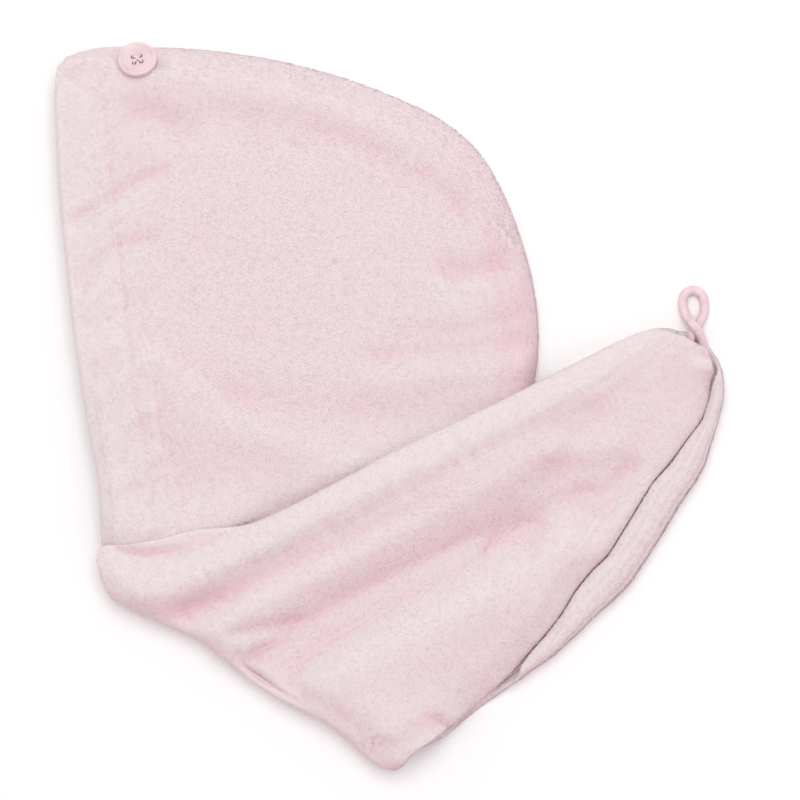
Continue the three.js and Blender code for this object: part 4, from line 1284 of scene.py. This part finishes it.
@dataclass
class Button:
    """The four-hole button: a turned disc with a raised rim and a dished face, and its thread.

    Args:
        x: Its middle's x, in millimetres, as are all of its sizes.
        y: Its middle's y.
        tilt: How far it leans on the hood's corner, in degrees.
        turn: How far its holes are turned, in degrees.
        radius: The disc's radius.
        thickness: The disc's thickness at its rim.
        rim: The raised rim's width.
        slope: The width of the rim's inner slope.
        dish: How deep the face lies below the rim.
        hole: A hole's radius.
        spacing: The distance between neighbouring holes.
        thread: The radius of a bundle of thread.
        clearance: The free height between the face and the thread.
        crossing: How much higher the upper stitch lies where the two cross.
        inset: How far in from a hole's middle the thread lies down on the face.
        soft_edge: How wide the disc's sharp edges are broken.
        steps: How many sides the disc is turned with.
    """

    x: float = -137.05
    y: float = 185.7
    tilt: float = -29.0
    turn: float = 10.0
    radius: float = 10.6
    thickness: float = 3.8
    rim: float = 1.9
    slope: float = 0.9
    dish: float = 1.2
    hole: float = 1.15
    spacing: float = 4.0
    thread: float = 0.6
    clearance: float = 0.3
    crossing: float = 0.25
    inset: float = 0.35
    soft_edge: float = 0.16
    steps: int = 96

    def __post_init__(self) -> None:
        """Finds the button's seat from its CAD node."""
        leaning = Euler((math.radians(self.tilt), 0.0, 0.0)).to_matrix()
        turned = Euler((0.0, 0.0, math.radians(self.turn))).to_matrix()
        own = leaning @ turned
        centre = Vector((self.x, self.y, 0.0))
        lowest = min((own.inverted() @ (v.co / MM - centre)).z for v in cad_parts["button"].data.vertices)
        seat = lowest / (own.inverted() @ Vector((0.0, 0.0, 1.0))).z
        self.place = Matrix.Translation(Vector((self.x, self.y, seat)) * MM) @ own.to_4x4()

    def _profile(self) -> list[tuple[float, float]]:
        """Returns the turned section, from the underside's middle round to the face's middle."""
        r, t = self.radius, self.thickness
        inner = r - self.rim - self.slope
        return [(0.0, 0.0), (r - 2.4, 0.0), (r - 1.3, 0.25), (r - 0.5, 0.75), (r - 0.08, 1.4),
                (r, 2.0), (r, t - 1.1), (r - 0.12, t - 0.55), (r - 0.4, t - 0.18), (r - 0.9, t),
                (r - 1.35, t - 0.1), (r - self.rim, t - 0.38), (inner + 0.35, t - self.dish + 0.28),
                (inner - 0.1, t - self.dish + 0.06), (inner - 0.9, t - self.dish), (0.0, t - self.dish)]

    def holes(self) -> list[tuple[float, float]]:
        """Returns the middles of the four holes, in the button's own plane."""
        half = 0.5 * self.spacing
        return [(-half, -half), (half, -half), (half, half), (-half, half)]

    def build_disc(self) -> bpy.types.Object:
        """Turns the disc and drills its holes."""
        mesh = bmesh.new()
        verts = [mesh.verts.new(Vector((r, 0.0, z)) * MM) for r, z in self._profile()]
        edges = [mesh.edges.new(pair) for pair in zip(verts, verts[1:])]
        bmesh.ops.spin(mesh, geom=verts + edges, cent=(0, 0, 0), axis=(0, 0, 1),
                       angle=2 * math.pi, steps=self.steps, use_merge=True)
        bmesh.ops.remove_doubles(mesh, verts=mesh.verts[:], dist=1e-6)
        bmesh.ops.recalc_face_normals(mesh, faces=mesh.faces[:])
        disc = place_mesh("button_disc", mesh)
        drills = bmesh.new()
        for x, y in self.holes():
            bmesh.ops.create_cone(drills, cap_ends=True, segments=28, radius1=self.hole * MM,
                                  radius2=self.hole * MM, depth=4 * self.thickness * MM,
                                  matrix=Matrix.Translation(Vector((x, y, 0.0)) * MM))
        drill = place_mesh("button_drill", drills)
        cut = disc.modifiers.new("holes", "BOOLEAN")
        cut.operation = "DIFFERENCE"
        cut.solver = "EXACT"
        cut.object = drill
        bpy.context.view_layer.update()
        solid = bpy.data.meshes.new_from_object(disc.evaluated_get(bpy.context.evaluated_depsgraph_get()))
        disc.modifiers.clear()
        bpy.data.objects.remove(drill)
        mesh = bmesh.new()
        mesh.from_mesh(solid)
        around = [edge for edge in mesh.edges
                  if len(edge.link_faces) == 2 and edge.calc_face_angle() > math.radians(50)]
        bmesh.ops.bevel(mesh, geom=around, offset=self.soft_edge * MM, offset_type="OFFSET", affect="EDGES",
                        segments=2, profile=0.5, material=-1)
        for face in mesh.faces:
            face.smooth = True
        bmesh.ops.transform(mesh, matrix=self.place, verts=mesh.verts[:])
        mesh.to_mesh(disc.data)
        mesh.free()
        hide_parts("button")
        return disc

    def build_thread(self) -> bpy.types.Object:
        """Makes the two crossing stitches, each bending down into its two holes."""
        mesh = bmesh.new()
        face = self.thickness - self.dish
        top = face + self.clearance + self.thread
        holes = self.holes()
        for first, second in ((0, 2), (1, 3)):
            low, high = (Vector((*holes[k], 0.0)) for k in (first, second))
            inward = (high - low).normalized() * self.inset
            lift = self.crossing if first else 0.0
            path = [low, low + Vector((0, 0, face - 0.2)), low + inward + Vector((0, 0, top - 0.08)),
                    0.5 * (low + high) + Vector((0, 0, top + lift)),
                    high - inward + Vector((0, 0, top - 0.08)), high + Vector((0, 0, face - 0.2)), high]
            self._strand(mesh, path)
        bmesh.ops.recalc_face_normals(mesh, faces=mesh.faces[:])
        for part in mesh.faces:
            part.smooth = True
        bmesh.ops.transform(mesh, matrix=self.place, verts=mesh.verts[:])
        piece = place_mesh("button_stitches", mesh)
        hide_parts("button_thread")
        return piece

    def _strand(self, mesh: bmesh.types.BMesh, path: Sequence[Vector]) -> None:
        """Adds one rounded strand of thread along a path in millimetres."""
        radius = self.thread * 0.92
        start = bmesh.ops.create_circle(mesh, cap_ends=True, segments=10, radius=radius * MM)
        bmesh.ops.translate(mesh, vec=path[0] * MM, verts=start["verts"])
        face = start["verts"][0].link_faces[0]
        middle, heading = path[0], Vector((0, 0, 1))
        for k in range(1, len(path)):
            step = path[k] - path[k - 1]
            after = path[min(k + 1, len(path) - 1)] - path[k]
            onward = after if after.length else step
            turned = (step.normalized() + onward.normalized()).normalized()
            grown = bmesh.ops.extrude_face_region(mesh, geom=[face])
            bmesh.ops.delete(mesh, geom=[face], context="FACES_ONLY")
            face = next(item for item in grown["geom"] if isinstance(item, bmesh.types.BMFace))
            turn = heading.rotation_difference(turned).to_matrix().to_4x4()
            move = Matrix.Translation(path[k] * MM) @ turn @ Matrix.Translation(-middle * MM)
            bmesh.ops.transform(mesh, matrix=move, verts=face.verts[:])
            middle, heading = path[k], turned


@dataclass
class Studio:
    """The pale table, the soft light from the top of the picture, and the camera straight above.

    Args:
        distance: How far the camera is above the towel's middle height, in metres.
        sensor: The camera's sensor width, in millimetres.
        middle_height: The towel's middle height, in metres.
        table_size: Half the table's side, in metres.
        key_side: The soft box's side, in metres.
        key_place: Where the soft box hangs, in metres.
        key_power: Its power, in watts.
        key_colour: Its colour.
        fill_colour: The even sky's colour.
        fill_strength: The even sky's strength.
    """

    distance: float = 2.2
    sensor: float = 36.0
    middle_height: float = 0.012
    table_size: float = 4.0
    key_side: float = 1.5
    key_place: tuple[float, float, float] = (0.02, 0.74, 2.0)
    key_power: float = 20.1
    key_colour: tuple[float, float, float] = (0.96, 1.0, 0.99)
    fill_colour: tuple[float, float, float, float] = (1.0, 0.955, 0.968, 1.0)
    fill_strength: float = 0.745

    def build(self) -> None:
        """Sets the table, lights and camera."""
        self._table()
        self._lights()
        self._camera()

    def _table(self) -> None:
        """Lays the plain pale floor."""
        mesh = bmesh.new()
        bmesh.ops.create_grid(mesh, x_segments=1, y_segments=1, size=self.table_size)
        table = place_mesh("table_top", mesh)
        graph = NodeGraph(bpy.data.materials.new("pale_table"))
        table.data.materials.append(graph.finished({
            "Base Color": linear_colour("#fdfcfc"), "Roughness": 0.9}))

    def _lights(self) -> None:
        """Hangs the large soft box north of the towel, and lifts the shadows with an even sky."""
        light = bpy.data.lights.new("key_softbox", "AREA")
        light.shape = "RECTANGLE"
        light.size = light.size_y = self.key_side
        light.energy = self.key_power
        light.color = self.key_colour
        box = place_object("key_softbox", light)
        box.location = self.key_place
        box.rotation_euler = (-Vector(self.key_place)).to_track_quat("-Z", "Y").to_euler()
        world = bpy.data.worlds.new("even_sky")
        graph = NodeGraph(world)
        sky = graph.add("ShaderNodeBackground", {"Color": self.fill_colour, "Strength": self.fill_strength})
        graph.add("ShaderNodeOutputWorld", {"Surface": sky.outputs["Background"]})
        bpy.context.scene.world = world
        bpy.context.scene.view_settings.view_transform = "Standard"
        bpy.context.scene.view_settings.look = "None"

    def _camera(self) -> None:
        """Hangs the camera over the picture's middle, looking straight down."""
        camera = bpy.data.cameras.new("camera")
        camera.sensor_width = self.sensor
        camera.lens = self.sensor * self.distance / (IMAGE_SIDE * MM_PER_PIXEL * MM)
        camera.clip_end = 20.0
        holder = place_object("camera", camera)
        holder.location = (PICTURE_MIDDLE[0] * MM, PICTURE_MIDDLE[1] * MM, self.distance + self.middle_height)
        bpy.context.scene.camera = holder


def shape_panels(outer: SoftPanel, inner: SoftPanel) -> None:
    """Shapes both panels, all but for what the lower one lifts of the upper.

    Args:
        outer: The back panel, which is the tail's upper one.
        inner: The hood's front panel, which is the tail's lower one.
    """
    for panel in (outer, inner):
        round_corner(panel)
    shape_hood(inner)
    shape_tail(outer)
    under_folds = inner.past_fold(0.0, 3.0) * (1.0 - smooth_step(10.5, 12.5, inner.column_place))
    raise_folds(inner, TAIL_FOLDS, 0.6 * under_folds)
    pucker_hem(inner, 0.45, 3)
    pucker_hem(outer, 0.5, 5)
    open_fold_end(inner, 6.0, 1.0)
    open_fold_end(outer, 8.0, 5.0)
    fit_fold(outer, 0.0)
    fit_fold(inner, 4.0)
    fit_groove(outer, inner)
    inner.rest_on_table()
    outer.rest_on_table()


def main() -> None:
    """Builds the towel's pieces in order, then the studio."""
    logging.basicConfig(level=logging.INFO, format="%(name)s %(relativeCreated)d ms: %(message)s")
    spacing = 2.2
    plush = PlushFinish().build()
    jersey = CordFinish().build()
    outer = SoftPanel("outer_plush", PanelNode.OUTER, spacing)
    inner = SoftPanel("inner_plush", PanelNode.INNER, spacing)
    shape_panels(outer, inner)
    lower = inner.build()
    keep_clear(outer, lower, 0.3, outer.past_fold(0.5, 1.5) * outer.off_seam(3.0, 6.0))
    upper = outer.build()
    for panel, piece, rests_on in ((inner, lower, ("outer_plush",)), (outer, upper, ())):
        dress(piece, plush)
        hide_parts(panel.node.value)
    cover = tree_of(lower, upper)
    for name, tufts, seed, host in (("inner_pile_a", 170000, 21, lower), ("inner_pile_b", 170000, 22, lower),
                                    ("outer_pile_a", 90000, 23, upper), ("outer_pile_b", 90000, 24, upper)):
        dress(PileCoat(name, tufts, seed).build(host, cover), plush)
    dress(ButtonLoop().build(), jersey)
    button = Button()
    dress(button.build_disc(), ResinFinish().build())
    thread = ThreadFinish().build()
    dress(button.build_thread(), thread)
    for name, panel in (("outer_hem_stitches", outer), ("inner_hem_stitches", inner)):
        dress(HemStitches(name).build(panel), thread)
    Studio().build()


if __name__ == "__main__":
    main()
